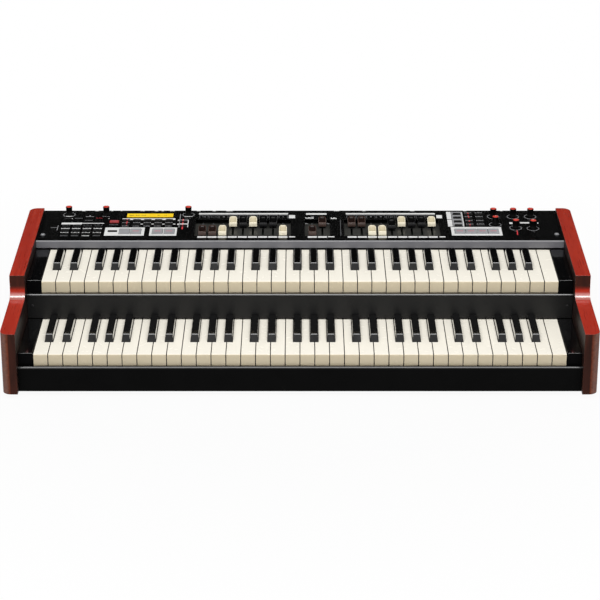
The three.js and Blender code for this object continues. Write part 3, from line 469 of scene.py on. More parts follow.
def cheek(node, side):
    source = bmesh.new()
    corner = [CHEEK_CORNER * math.sin(i * math.pi / 2 / CORNER_STEPS) for i in range(CORNER_STEPS + 1)]
    rings = []
    for depth in [0] + [CHEEK_FLAT + into for into in corner]:
        into = max(0.0, depth - CHEEK_FLAT)
        inset = CHEEK_CORNER - math.sqrt(max(0.0, CHEEK_CORNER ** 2 - into ** 2))
        rings.append([(side * (CHEEK_INNER + depth), y, z) for y, z in cheek_outline(inset)])
    loops = add_rings(source, rings)
    source.faces.get(loops[0]).material_index = 1
    finish_piece(f"{node}_wood", source, [WOOD, WOOD_INNER], "case", [node], bevel=1.1,
                 segments=3)


cheek("left_cheek", -1)
cheek("right_cheek", 1)


# Keys: the front edge of the naturals is Y 0 and their top is Z 0
MANUALS = {
    "lower": {"y": -204.8, "z": 68, "sharp_front": 49.6, "sharp_lean": 7.7, "sharp_end": 140.4},
    "upper": {"y": -58.4, "z": 133.5, "sharp_front": 51, "sharp_lean": 6.3, "sharp_end": 124.5},
}
SEAM = 0.58
LIP_RADIUS = 2.2
LIP_HEIGHT = 3.0
APRON_HEIGHT = 19.8
APRON_THICKNESS = 2.5
NATURAL_BACK = 188.6
NOTCH_WIDTH = 14.2
NOTCH_GAP = 0.9
SHARP_SHIFT = 0.8
SHARP_HALF = 6.6
SHARP_SHOULDER = 9.5
SHARP_HEIGHT = 10.5
SHARP_ARM = (-9, -4.2)
SHARP_BACK = 166.8
BAR_DEPTH = 8.0
BAR_BOTTOM = -12.0


def sharp_places():
    """Middle of each sharp along X, by the number of the natural on its right."""
    places = {}
    for octave in range(NATURALS // 7):
        for first, whites in ((0, 3), (3, 4)):
            start = (octave * 7 + first) * PITCH - MANUAL_HALF - SHARP_SHIFT
            lever = (whites * PITCH - (whites - 1) * NOTCH_WIDTH) / whites
            for i in range(1, whites):
                places[octave * 7 + first + i] = start + i * lever + (i - 0.5) * NOTCH_WIDTH
    return places


SHARPS = sharp_places()


def natural(source, index, notch_y):
    """White key with notches beside the sharps, and a front apron. Gives the edge of its lip."""
    left = index * PITCH - MANUAL_HALF + SEAM
    right = (index + 1) * PITCH - MANUAL_HALF - SEAM
    plan = [(left, 0), (right, 0)]
    if index + 1 in SHARPS:
        edge = SHARPS[index + 1] - NOTCH_WIDTH / 2
        plan += [(right, notch_y), (edge, notch_y), (edge, NATURAL_BACK)]
    else:
        plan.append((right, NATURAL_BACK))
    if index in SHARPS:
        edge = SHARPS[index] + NOTCH_WIDTH / 2
        plan += [(edge, NATURAL_BACK), (edge, notch_y), (left, notch_y)]
    else:
        plan.append((left, NATURAL_BACK))
    top = [source.verts.new((x, y, 0)) for x, y in plan]
    under = [source.verts.new((x, max(y, APRON_THICKNESS), -LIP_HEIGHT)) for x, y in plan]
    toe = [source.verts.new((x, 0, -APRON_HEIGHT)) for x in (left, right)]
    heel = [source.verts.new((x, APRON_THICKNESS, -APRON_HEIGHT)) for x in (left, right)]
    for loop in (top, under[::-1], (toe[0], toe[1], top[1], top[0]), (heel[0], heel[1], toe[1], toe[0]),
                 (under[0], under[1], heel[1], heel[0])):
        source.faces.new(loop)
    flanks = [(toe[1], heel[1], under[1], under[2], top[2], top[1]),
              (top[0], top[-1], under[-1], under[0], heel[0], toe[0])]
    flanks += [(top[i], under[i], under[i + 1], top[i + 1]) for i in range(2, len(plan) - 1)]
    # Side faces take the second material, a dark brown: painted shade in the gaps between the keys
    for loop in flanks:
        source.faces.new(loop).material_index = 1
    return source.edges.get((top[0], top[1]))


def sharp(source, x, base, lean, end):
    """Black key with walls that lean in, on a narrow arm that runs back to the comb's bar."""
    rings = []
    for z, half, ahead, behind in (
        (-4, SHARP_HALF, 0, 0),
        (0, SHARP_HALF, 0, 0),
        (SHARP_SHOULDER, SHARP_HALF - 0.8, lean, 0.3),
        (SHARP_HEIGHT, SHARP_HALF - 2.1, lean + 1.1, 1),
    ):
        front = base + ahead
        rear = end - behind
        rings.append([(x - half, front, z), (x + half, front, z), (x + half, rear, z), (x - half, rear, z)])
    loops = add_rings(source, rings)
    for low, high in zip(loops[:2], loops[1:3]):
        for i, material in ((0, 2), (1, 1), (3, 1)):
            j = (i + 1) % 4
            source.faces.get((low[i], low[j], high[j], high[i])).material_index = material
    add_block(source, x - 5, x + 5, base + 6, SHARP_BACK, *SHARP_ARM, 1)


def manual(name, size):
    place = Matrix.Translation((0, size["y"], size["z"]))
    whites = bmesh.new()
    lips = [natural(whites, i, size["sharp_front"] - NOTCH_GAP) for i in range(NATURALS)]
    bmesh.ops.bevel(whites, geom=lips, offset=LIP_RADIUS, segments=4, affect="EDGES", profile=0.5)
    bar_y = NATURAL_BACK + 0.2
    add_block(whites, -MANUAL_HALF + 0.5, MANUAL_HALF - 0.5, bar_y, bar_y + BAR_DEPTH, BAR_BOTTOM, -0.2)
    finish_piece(f"{name}_natural_keys", whites, [IVORY, IVORY_GAP_SHADE], f"{name}_naturals",
                 [f"{name}_naturals"], place, bevel=0.45, limit=50)

    blacks = bmesh.new()
    for x in SHARPS.values():
        sharp(blacks, x, size["sharp_front"], size["sharp_lean"], size["sharp_end"])
    add_block(blacks, min(SHARPS.values()) - 7, max(SHARPS.values()) + 7, SHARP_BACK,
              SHARP_BACK + BAR_DEPTH, BAR_BOTTOM, -7.5)
    finish_piece(f"{name}_sharp_keys", blacks, [EBONY, EBONY_SIDE, EBONY_FRONT], f"{name}_sharps",
                 [f"{name}_sharps"], place, bevel=0.2, limit=20)


for manual_name, manual_size in MANUALS.items():
    manual(manual_name, manual_size)


# Drawbars, each a cap with a scooped top on a steel blade: place of the group's middle as a share of
# the panel's width, how far each drawbar is drawn out, and the kind of its cap
DRAWBARS = {
    "upper": (-0.1095, (1, 1, 1, 0, 0, 0, 0, 0, 1), "bbcckckkc"),
    "pedal": (0.0332, (1, 0), "bb"),
    "lower": (0.1761, (0, 0, 1, 1, 0.3, 0, 0, 0, 0), "bbcckckkc"),
}
CAP_FINISH = {
    "b": (BROWN, BROWN_SCOOP_SHADE, "brown_cap"),
    "c": (CREAM, CREAM_SCOOP_SHADE, "cream_cap"),
    "k": (BLACK_CAP, BLACK_SCOOP_SHADE, "black_cap"),
}
DRAWBAR_TRAVEL = 40.7
DRAWBAR_IN = 64.5
DRAWBAR_PITCH = 17.2
CAP_HALF = 6.7
CAP_LENGTH = 24.0
CAP_SHOULDER = 6.2
CAP_CORNER = 5.2
CAP_FRONT_HEIGHT = 7.6
CAP_REAR_HEIGHT = 10.0
CAP_SAG = 1.1
CAP_RIM = 1.5
SCOOP_SLOPE = 1.6
SCOOP_DEPTH = 2.6
BLADE_HALF = 1.4
BLADE_Y = (12, 62.5)
BLADE_Z = (-8.5, -2.4)


def drawbars():
    """Group, order, place along X, draw and kind of cap of each drawbar."""
    for group, (middle, drawn, kinds) in DRAWBARS.items():
        for order, (share, kind) in enumerate(zip(drawn, kinds)):
            x = middle * PANEL_WIDTH + (order - (len(drawn) - 1) / 2) * DRAWBAR_PITCH
            yield group, order, x, share, kind


def held(value):
    return min(1.0, max(0.0, value))


def cap_half_width(y):
    drop = max(0.0, (y - CAP_LENGTH + CAP_SHOULDER) / CAP_SHOULDER)
    return CAP_HALF - CAP_CORNER + CAP_CORNER * math.sqrt(max(0.0, 1 - drop * drop))


def cap_top(x, y):
    """Height of the cap's top above the panel: a raised rim round a scoop, with a bar at the front."""
    climb = (CAP_REAR_HEIGHT - CAP_FRONT_HEIGHT) * (y / CAP_LENGTH) ** 1.5
    rim = CAP_FRONT_HEIGHT + climb - CAP_SAG * math.sin(math.pi * y / CAP_LENGTH)
    inside = min(cap_half_width(y) - abs(x), y - 1.2, CAP_LENGTH - y)
    depth = held((inside - CAP_RIM) / SCOOP_SLOPE)
    depth = depth * depth * (3 - 2 * depth)
    scoop = SCOOP_DEPTH * math.sin(math.pi * held((y - 2) / (CAP_LENGTH - 3.5))) ** 0.6
    return rim - depth * scoop


def add_cap(source, x0, y0):
    stations = [0, 0.5, 1.4, 2.4, 3.4, 4.4, 6, 8.5, 11.5, 14.5, 17.5, 19.5, 21, 22, 22.9, 23.5,
                CAP_LENGTH]
    shares = [-1, -0.93, -0.8, -0.66, -0.5, -0.25, 0, 0.25, 0.5, 0.66, 0.8, 0.93, 1]
    grid = []
    for y in stations:
        half = cap_half_width(y)
        lip = 1.5 * max(0.0, 1 - y / 2.2) ** 2
        row = []
        for share in shares:
            edge = 0.5 * max(0.0, (abs(share) - 0.93) / 0.07) + 0.5 * max(0.0, (y - 23.5) / 0.5)
            height = cap_top(half * share, y) - lip - min(edge, 0.6)
            row.append(source.verts.new((x0 + half * share, y0 + y, height)))
        grid.append(row)
    for j in range(len(stations) - 1):
        for i in range(len(shares) - 1):
            face = source.faces.new((grid[j][i], grid[j][i + 1], grid[j + 1][i + 1], grid[j + 1][i]))
            # Faces inside the scoop take the second material: painted shade in the hollow
            if 2 <= i <= len(shares) - 4 and 2.4 <= stations[j] < 22.0:
                face.material_index = 1
    rim = grid[0] + [row[-1] for row in grid[1:]] + grid[-1][-2::-1] + [row[0] for row in grid[-2:0:-1]]
    foot = [source.verts.new((v.co.x, v.co.y, 0.1)) for v in rim]
    for i in range(len(rim)):
        j = (i + 1) % len(rim)
        source.faces.new((rim[i], foot[i], foot[j], rim[j]))
    source.faces.new(foot)
    # Black foot under the cap: a slider foot that also stands in for the shade under the cap
    add_block(source, x0 - 5.2, x0 + 5.2, y0 + 2, y0 + 18, -3.4, 0.1, 2)


def drawbar(group, order, x, drawn, kind):
    y = DRAWBAR_IN - drawn * DRAWBAR_TRAVEL
    body = f"{group}_drawbar_{order + 1}"
    shell, scoop, slot = CAP_FINISH[kind]
    cap = bmesh.new()
    add_cap(cap, x, y)
    finish_on_panel(f"{body}_cap", cap, [shell, scoop, BLACK_SCOOP_SHADE], body, [body], limit=50)
    blade = bmesh.new()
    add_block(blade, x - BLADE_HALF, x + BLADE_HALF, y + BLADE_Y[0], y + BLADE_Y[1], *BLADE_Z)
    finish_on_panel(f"{body}_blade", blade, [BRIGHT], body, [body], limit=35, bevel=0.15)


for drawbar_row in drawbars():
    drawbar(*drawbar_row)

# Knobs: fluted, with a black rim, a red disc and a white pointer. Each has its place, the word printed
# before it and how far off that word is
KNOBS = {
    "volume_knob": (-401.5, 119.81, "VOLUME", 18),
    "drive_knob": (-336.8, 119.68, "DRIVE", 10),
    "value_knob": (-193.99, 119.40, "VALUE", 18),
    "bass_knob": (335.3, 110.28, "BASS", 16),
    "mid_knob": (369.6, 110.07, "MID", 16),
    "treble_knob": (399.6, 110.07, "TREBLE", 16),
    "reverb_knob": (336.1, 73.47, "REVERB", 16),
    "percussion_knob": (369.9, 58.45, "PERC", 16),
    "vibrato_knob": (399.4, 56.22, "VIB", 16),
}
FLUTES = 18
FLUTE_DEPTH = 0.22


def knob(name, x, y):
    source = bmesh.new()
    sides = FLUTES * 4
    grip = ((0.4, 5.3, 0), (0.8, 5.5, 0), (2, 5.5, 0), (2.5, 5.3, 0), (2.9, 5.2, FLUTE_DEPTH),
            (13.2, 5.5, FLUTE_DEPTH), (13.6, 5.6, 0), (14.6, 5.6, 0), (15, 5.35, 0), (15.1, 5, 0))
    disc = ((15, 4.9), (15.15, 4.9), (15.36, 4.65), (15.44, 4.2))
    shaft = ((-13.5, 2.9), (0.5, 2.9))
    add_rings(source, [circle(radius, sides, z, (x, y), ripple, FLUTES) for z, radius, ripple in grip])
    add_rings(source, [circle(radius, sides, z, (x, y)) for z, radius in disc], 1)
    add_rings(source, [circle(radius, 24, z, (x, y)) for z, radius in shaft], 2)
    add_block(source, x - 0.4, x + 0.4, y + 2, y + 4.6, 14.6, 15.49, 3)
    finish_on_panel(f"{name}_body", source, [KNOB, KNOB_RED, STEEL, PRINT_WHITE], name,
                    [name], limit=40)


for knob_name, (knob_x, knob_y, _, _) in KNOBS.items():
    knob(knob_name, knob_x, knob_y)

# Buttons: sizes as width, depth and rise
KEY_SIZE = (13, 5.5, 2.2)
PRESET_SIZE = (17.8, 23, 1.5)
EFFECT_PAD_SIZE = (17.8, 20.5, 1.5)
MENU_SIZE = (16, 9, 1.3)
BUTTON_CORNER = 0.9
SHEET_Z = (-5.6, -4)
SHEET_MARGIN = 3
SHAFT_HOLE = 3.6


def field(size, columns, rows, reach=PANEL_DEPTH):
    """Middle and size of each button, row by row, from shares of the panel's width and of a depth."""
    return [(x * PANEL_WIDTH, y * reach, *size) for y in rows for x in columns]


MATRIX = field(KEY_SIZE, (-0.4497, -0.4290, -0.4083, -0.3876), (0.2120, 0.3300, 0.4620))
MENU = field(MENU_SIZE, [-0.3586], [0.8415], DISPLAY_FRONT)
EDIT = field(KEY_SIZE, (-0.3359, -0.3151, -0.2944, -0.2736, -0.2528), (0.7240, 0.8901), DISPLAY_FRONT)
PRESETS = field(PRESET_SIZE, (-0.3358, -0.3140, -0.2725, -0.2500), [0.3010])
PAIR = field(KEY_SIZE, [-200.69 / PANEL_WIDTH], (0.4820, 0.6230))
STACK = field(KEY_SIZE, [0.3048], (0.4900, 0.6190, 0.7460, 0.8690))
EFFECTS = field(KEY_SIZE, (0.3272, 0.3480), (0.4860, 0.6080, 0.7350, 0.8620))
PADS = field(EFFECT_PAD_SIZE, (0.3058, 0.3271, 0.3487, 0.3697), [0.3040])


def button_ring(x, y, half_x, half_y, radius, z):
    """Rectangle with round corners, four points to a corner."""
    points = []
    for corner, (sx, sy) in enumerate(((1, 1), (-1, 1), (-1, -1), (1, -1))):
        for step in range(4):
            turn = (corner + step / 3) * math.pi / 2
            points.append((x + sx * (half_x - radius) + radius * math.cos(turn),
                           y + sy * (half_y - radius) + radius * math.sin(turn), z))
    return points


def add_button(source, x, y, width, depth, rise, material):
    """Button with a rounded edge and a dished top."""
    rings = []
    for shrink, z in ((0, SHEET_Z[0]), (0, rise - 0.5), (0.15, rise - 0.15), (0.5, rise),
                      (1, rise - 0.02), (1.7, rise - 0.14)):
        radius = max(0.2, BUTTON_CORNER - shrink)
        rings.append(button_ring(x, y, width / 2 - shrink, depth / 2 - shrink, radius, z))
    add_rings(source, rings, material)


def plate(source, area, holes, z0, z1):
    """Flat plate with rectangular holes, as one closed shell."""
    xs = sorted({area[0], area[1], *[v for h in holes for v in h[:2] if area[0] < v < area[1]]})
    ys = sorted({area[2], area[3], *[v for h in holes for v in h[2:] if area[2] < v < area[3]]})

    def solid(i, j):
        if not (0 <= i < len(xs) - 1 and 0 <= j < len(ys) - 1):
            return False
        x = (xs[i] + xs[i + 1]) / 2
        y = (ys[j] + ys[j + 1]) / 2
        return not any(h[0] < x < h[1] and h[2] < y < h[3] for h in holes)

    corners = {}

    def corner(i, j, z):
        if (i, j, z) not in corners:
            corners[i, j, z] = source.verts.new((xs[i], ys[j], z))
        return corners[i, j, z]

    for i in range(len(xs) - 1):
        for j in range(len(ys) - 1):
            if not solid(i, j):
                continue
            loop = ((i, j), (i + 1, j), (i + 1, j + 1), (i, j + 1))
            source.faces.new([corner(*spot, z1) for spot in loop])
            source.faces.new([corner(*spot, z0) for spot in loop[::-1]])
            for (di, dj), a, b in zip(((0, -1), (1, 0), (0, 1), (-1, 0)), loop, loop[1:] + loop[:1]):
                if not solid(i + di, j + dj):
                    source.faces.new((corner(*a, z0), corner(*b, z0), corner(*b, z1), corner(*a, z1)))


def boxes_of(entries, margin=0.5):
    """Left, right, front and rear of each button, with a margin all round."""
    return [(x - width / 2 - margin, x + width / 2 + margin, y - depth / 2 - margin, y + depth / 2 + margin)
            for x, y, width, depth, _ in entries]


def bank(name, groups, materials, shafts=()):
    """Buttons of a field on their rubber sheet, which has holes for the knob shafts named."""
    source = bmesh.new()
    for entries, material in groups:
        for entry in entries:
            add_button(source, *entry, material)
    boxes = [box for entries, _ in groups for box in boxes_of(entries, SHEET_MARGIN)]
    area = [pick(box[side] for box in boxes) for side, pick in enumerate((min, max, min, max))]
    holes = boxes_of([(*KNOBS[shaft][:2], 0, 0, 0) for shaft in shafts], SHAFT_HOLE)
    plate(source, area, holes, *SHEET_Z)
    finish_on_panel(f"{name}_caps", source, materials, name, [name], limit=35)


bank("function_buttons", [(MATRIX, 0)], [RUBBER])
bank("preset_buttons", [(MENU, 2), (EDIT, 0), (PRESETS, 1), (PAIR, 0)], [RUBBER, PAD_GREY, BUTTON_RED])
bank("effect_buttons", [(STACK, 0), (EFFECTS, 0), (PADS, 1)], [RUBBER, PAD_GREY],
     ("bass_knob", "reverb_knob"))

# Print on the panel: each area is its left, right, front and rear, then any holes in it
INK_TOP = 0.09
BLOCK_PITCH = 2.2
BLOCK_SHARE = 0.78
INKS = {"white": PRINT_WHITE, "grey": PRINT_GREY, "dim": PRINT_DIM, "red": PRINT_RED}
printed = {shade: [] for shade in INKS}


def marks(shade, *areas):
    printed[shade].extend(areas)


def label(shade, x, y, width, height):
    """Row of short blocks, like a small printed word."""
    count = max(2, round(width / BLOCK_PITCH))
    step = width / count
    for i in range(count):
        left = x - width / 2 + i * step
        drop = 0.3 * height if i % 3 == 1 else 0.0
        marks(shade, (left, left + step * BLOCK_SHARE, y - height / 2, y + height / 2 - drop))


# Marks along the rear edge, as their middles and widths
for x, width in ((-378, 6), (-355, 6), (-328, 3), (-312, 2.4), (-275, 7), (-251, 6), (-240, 4),
                 (-223, 8), (-177, 7), (-150, 6), (-123, 12), (64, 9), (112, 5), (196, 8), (288, 6),
                 (352, 4)):
    marks("white", (x - width / 2, x + width / 2, 136.4, 138.6))

# Words and lines at the left end
marks("white", (-411, -375.5, 74.6, 82.6), (-375.1, -337.8, 78.2, 81))
for order, (x, *_) in enumerate(MATRIX[:4]):
    label("grey", x, 71.2, 14, 2.2)
    label("white", x, 56, 14.5, 3.4)
    label("white", x, 37.4, 14, 3.4)
    marks("white" if order == 2 else "dim", (x - 6.4, x + 6.4, 22.2, 24.2))
marks("grey", (-371.8, -358, 109.8, 111.4), (-366, -364, 111.4, 116.6),
      (-427.8, -416, 59.2, 60.4), (-416.4, -415.2, 48, 70))
marks("white", (-395.4, -393.6, 99.8, 102), (-332, -330.2, 100.6, 102.6))
label("dim", -383.6, 103, 13.6, 2.6)
label("dim", -364.8, 93.4, 13.2, 2.6)
label("red", -347.4, 103.8, 11, 1.4)

# Strip before the display, and words and lines round the buttons there
marks("white", (-307.3, -216, 95.2, 102.4))
for x, *_ in EDIT[:5]:
    label("grey", x, 82.8, 12.5, 3.2)
    label("grey", x, 67, 11.5, 2.6)
marks("white", *[(x + 7.2, x + 11.2, 74.6, 77.6) for x, *_ in EDIT[1:5]])
marks("red", (-299.6, -297.6, 70.4, 72), (-299.6, -297.6, 77.6, 88.4))
label("dim", MENU[0][0], 73, 15, 2.6)

# Boxes round the preset buttons and the pair beside the display
presets = boxes_of(PRESETS)
pair = boxes_of(PAIR)
slot = (-328.8, -312.7, 39.6, 48.4)
marks("white", (-333.8, -266, 23.6, 60.3, *presets, slot), (-257.1, -210.6, 23.6, 60.3, *presets),
      (-211.2, -192.4, 91.2, 95.4, *pair), (-211.2, -192.4, 72.2, 78.4, *pair),
      (-193.8, -192.4, 62, 95.4, *pair))
marks("grey", (-208.6, -207.4, 60, 123))
marks("red", (-203.2, -200.8, 52.4, 63.8), (-203.2, -200.8, 78.5, 83.3), (-203.2, -200.8, 95.5, 98.6))

# Strips, legends and number boxes round the drawbars
marks("white", (-176.1, -20.8, 120.6, 127), (-19.4, -8.5, 103, 117.6), (10.4, 46.2, 119.4, 126.6))
label("white", 58.6, 102.6, 10.4, 6.6)
marks("white", (79.7, 235.1, 120.6, 127), (236.8, 246.6, 103, 117.6), (-18.5, -8.3, 16.2, 20.6),
      (47.7, 58.4, 16.4, 20.8), (237, 247, 16.2, 20.6))
label("white", 16.6, 104.4, 14.6, 6)
label("white", 39.4, 104.4, 8.6, 6)
label("grey", 11.8, 78.4, 5.4, 3.4)
label("grey", 48.4, 78.4, 5, 3.4)
marks("dim", (69.3, 70.1, 22.8, 96))
for group, _, x, _, _ in drawbars():
    marks("white", (x - 7.7, x + 7.7, 14.4, 20.9))
    if group != "pedal":
        marks("dim", (x - 7.6, x - 7, 103, 118.4), (x + 7, x + 7.6, 103, 118.4),
              (x - 7, x + 7, 116.4, 118.4))

# Words and lines at the right end
effects = boxes_of(EFFECTS)
marks("white", (254.8, 262.6, 64.6, 96.4), (254.8, 262.6, 99, 133), (281.2, 282.6, 64.6, 131.6),
      (258.6, 345, 24.2, 62.4, *boxes_of(PADS)), (361.1, 366.5, 76.6, 84.4), (379.4, 395.4, 79.2, 84.8),
      (409, 411, 79, 82.6))
marks("grey", (263.2, 281.2, 64.6, 133, *boxes_of(STACK)))
for x, y, *_ in EFFECTS:
    label("grey", x, y + 8.4, 12.6, 3.4)
marks("red", (291.4, 293.2, 113, 128.6, *effects), (291.4, 293.2, 62.6, 75.6, *effects),
      (370.2, 372, 34, 46.6), (369.6, 371.6, 27, 34))
for ink_shade, ink_material in INKS.items():
    sheet = bmesh.new()
    for print_area in printed[ink_shade]:
        plate(sheet, print_area[:4], print_area[4:], 0, INK_TOP)
    finish_on_panel(f"panel_print_{ink_shade}", sheet, [ink_material])

# Printed rings and ticks round the knobs
RING_OUTER = 10.3
RING_INNER = 9.4
TICK_REACH = 11.2
TICK_HALF_LENGTH = 0.6
TICK_HALF_WIDTH = 0.25


def knob_ring(source, x, y):
    ring = ((RING_OUTER, 0), (RING_OUTER, INK_TOP), (RING_INNER, INK_TOP), (RING_INNER, 0))
    add_rings(source, [circle(radius, 40, z, (x, y)) for radius, z in ring], looped=True)
    for step in range(11):
        turn = math.radians(240 - 30 * step)
        outward = Vector((math.cos(turn), math.sin(turn), 0))
        middle = Vector((x, y, 0)) + outward * TICK_REACH
        along = outward * TICK_HALF_LENGTH
        aside = Vector((-outward.y, outward.x, 0)) * TICK_HALF_WIDTH
        loop = (middle - along - aside, middle + along - aside, middle + along + aside,
                middle - along + aside)
        add_rings(source, [[(p.x, p.y, z) for p in loop] for z in (0, INK_TOP)])


ticks = bmesh.new()
for knob_name, (knob_x, knob_y, _, _) in KNOBS.items():
    if knob_name != "drive_knob":
        knob_ring(ticks, knob_x, knob_y)
    if knob_name in ("volume_knob", "value_knob"):
        add_block(ticks, knob_x - 7.4, knob_x + 7.4, knob_y - 8.9, knob_y - 7, 0, INK_TOP, 1)
finish_on_panel("knob_rings", ticks, [PRINT_GREY, PRINT_WHITE])


# Print on the buttons, and two rose lines on the menu button that are a painted highlight on its front and
# rear edges
def rose_word(source, x, y):
    for i in range(4):
        left = x - 5.2 + i * 2.7
        add_block(source, left, left + 2, y - 1.9, y + (1.9 if i % 2 else 1.1), 1.34, 1.42)


menu_x, menu_y, *_ = MENU[0]
preset_print_and_highlights = bmesh.new()
for word_x, word_y, *_ in PRESETS[1:]:
    rose_word(preset_print_and_highlights, word_x, word_y)
# Two rose lines near the menu button's front and rear edges: a painted highlight
for highlight_y in (menu_y - 3.5, menu_y + 3.5):
    add_block(preset_print_and_highlights, menu_x - 6.6, menu_x + 6.6, highlight_y - 0.45, highlight_y + 0.45, 1, 1.34)
effect_marks = bmesh.new()
for word_x, word_y, *_ in PADS:
    rose_word(effect_marks, word_x, word_y)
finish_on_panel("preset_buttons_print_and_highlights", preset_print_and_highlights, [ROSE_PRINT_AND_HIGHLIGHT], "preset_buttons")
finish_on_panel("effect_buttons_marks", effect_marks, [ROSE_PRINT_AND_HIGHLIGHT], "effect_buttons")
for line_name, line_body, line_x, line_buttons in (
    ("edit", "preset_buttons", -298.6, EDIT[::5]),
    ("pair", "preset_buttons", -202, PAIR),
    ("effect", "effect_buttons", 292.3, EFFECTS[::2]),
):
    red_line = bmesh.new()
    for _, line_y, *_ in line_buttons:
        add_block(red_line, line_x - 0.9, line_x + 0.9, line_y - 2.2, line_y + 2.2, 1.8, 2.22)
    finish_on_panel(f"{line_name}_red_line", red_line, [PRINT_RED], line_body)

# Lit field of the display, on its black glass
lit_field = bmesh.new()
add_block(lit_field, -300.6, -220.4, 108.7, 125.5, -0.4, -0.24)
finish_on_panel("display_field", lit_field, [AMBER])


# Generic words and numbers
def words(name, entries, material, place):
    """One mesh from short texts, each given as text, x, y and letter height."""
    whole = bmesh.new()
    for text, x, y, height in entries:
        curve = bpy.data.curves.new("text", "FONT")
        curve.body = text
        curve.size = height * 1.38
        curve.align_x = "CENTER"
        curve.extrude = 0.03
        curve.resolution_u = 2
        holder = bpy.data.objects.new("text", curve)
        take_mesh(whole, bpy.data.meshes.new_from_object(holder), Matrix.Translation((x, y, 0.06)))
        bpy.data.objects.remove(holder)
        bpy.data.curves.remove(curve)
    finish_piece(name, whole, [material], "case", place=place, limit=30)


FOOTAGES = ("16", "5 1/3", "8", "4", "2 2/3", "2", "1 3/5", "1 1/3", "1")
knob_words = {name: (word, x, y - drop, 2.4) for name, (x, y, word, drop) in KNOBS.items()}
legends = [(*knob_words.pop("drive_knob")[:3], 3.4)]
words("knob_words", knob_words.values(), PRINT_DIM, PANEL_PLACE)
for drawbar_group, drawbar_order, drawbar_x, _, _ in drawbars():
    footage = ("16", "8")[drawbar_order] if drawbar_group == "pedal" else FOOTAGES[drawbar_order]
    legends.append((footage, drawbar_x, 107.6, 5.0 if len(footage) < 3 else 3.4))
words("footages", legends, PRINT_GREY, PANEL_PLACE)
words("display_digits", [("888 000 008", -282, 115, 4.2), ("01 - 12", -240, 115, 4.2)], INK,
      PANEL_PLACE @ Matrix.Translation((0, 0, -0.27)))

# Screws
TO_FRONT = Matrix.Rotation(math.pi / 2, 4, "X")
TO_REAR = Matrix.Rotation(-math.pi / 2, 4, "X")
TO_GROUND = Matrix.Rotation(math.pi, 4, "X")
SCREW_RADIUS = 3.0


def screw(source, x, y, z, radius, turned=Matrix.Identity(4), dome=0.34):
    """Domed head with a cross recess, standing along +Z before it is turned.

    The recess is a thin cross block in the second, dark material: painted shade.
    """
    head = bmesh.new()
    rise = radius * dome
    profile = ((1, 0), (1, 0.35), (0.86, 0.75), (0.6, 0.96), (0.3, 1))
    add_rings(head, [circle(radius * share, 24, rise * height) for share, height in profile])
    arm = radius * 0.52
    thin = radius * 0.11
    # Cross in the second material, a dark one: painted shade of the recess
    for step, (half_x, half_y) in enumerate(((arm, thin), (thin, arm))):
        add_block(head, -half_x, half_x, -half_y, half_y, rise * 0.9, rise * 1.04 + 0.01 * step, 1)
    take_mesh(source, mesh_of(head, "screw"), Matrix.Translation((x, y, z)) @ turned)


panel_screws = bmesh.new()
washer = ((4.7, 0), (4.7, 0.3), (4.4, 0.5))
for screw_x, screw_y in ((-437.7, 26.4), (437.3, 28.9)):
    screw(panel_screws, screw_x, screw_y, 0.3, 3.3, dome=0.75)
    add_rings(panel_screws, [circle(reach, 32, z, (screw_x, screw_y)) for reach, z in washer], 2)
finish_on_panel("panel_screws", panel_screws, [SCREW, SCREW_DARK, WASHER], limit=40)
fascia_screws = bmesh.new()
for screw_x in (-438.3, 438.3):
    screw(fascia_screws, screw_x, -63.6, 92.6, 2.2, TO_FRONT)
finish_piece("fascia_screws", fascia_screws, [SCREW_DARK, MOULDING], "case", limit=40)
case_screws = bmesh.new()
for screw_x in (-430, -258, -172, 0, 172, 310, 430):
    for screw_z in (18, 143):
        screw(case_screws, screw_x, REAR_Y, screw_z, SCREW_RADIUS, TO_REAR)
for screw_x in (-438, -300, -150, 0, 150, 300, 438):
    for screw_y in (-196, -70, 70, 204):
        screw(case_screws, screw_x, screw_y, BASE_Z, SCREW_RADIUS, TO_GROUND)
finish_piece("case_screws", case_screws, [STEEL, MOULDING], "case", limit=40)

# Nuts round the jack sockets, and words on the rear
JACK_X = [-107.28 + (i - 1.5) * 22 for i in range(4)]
JACK_Z = 73.8
NUT_PROFILE = ((6.2, 0), (6.2, 1.7), (5.7, 2.1), (3.6, 2.1), (3.6, 0))
nuts = bmesh.new()
for jack_x in JACK_X:
    nut = bmesh.new()
    add_rings(nut, [circle(radius, 24, z) for radius, z in NUT_PROFILE], looped=True)
    take_mesh(nuts, mesh_of(nut, "nut"), Matrix.Translation((jack_x, REAR_Y, JACK_Z)) @ TO_REAR)
finish_piece("jack_nuts", nuts, [BRIGHT], "case", limit=35)
rear_legends = [(text, -x, JACK_Z + 15, 3) for text, x in
                zip(("LINE L", "LINE R", "PHONES", "PEDAL"), JACK_X)]
rear_legends.append(("POWER", -371, 74, 3.2))
words("rear_words", rear_legends, PRINT_WHITE,
      Matrix.Translation((0, REAR_Y, 0)) @ Matrix.Rotation(math.pi, 4, "Z") @ TO_FRONT)

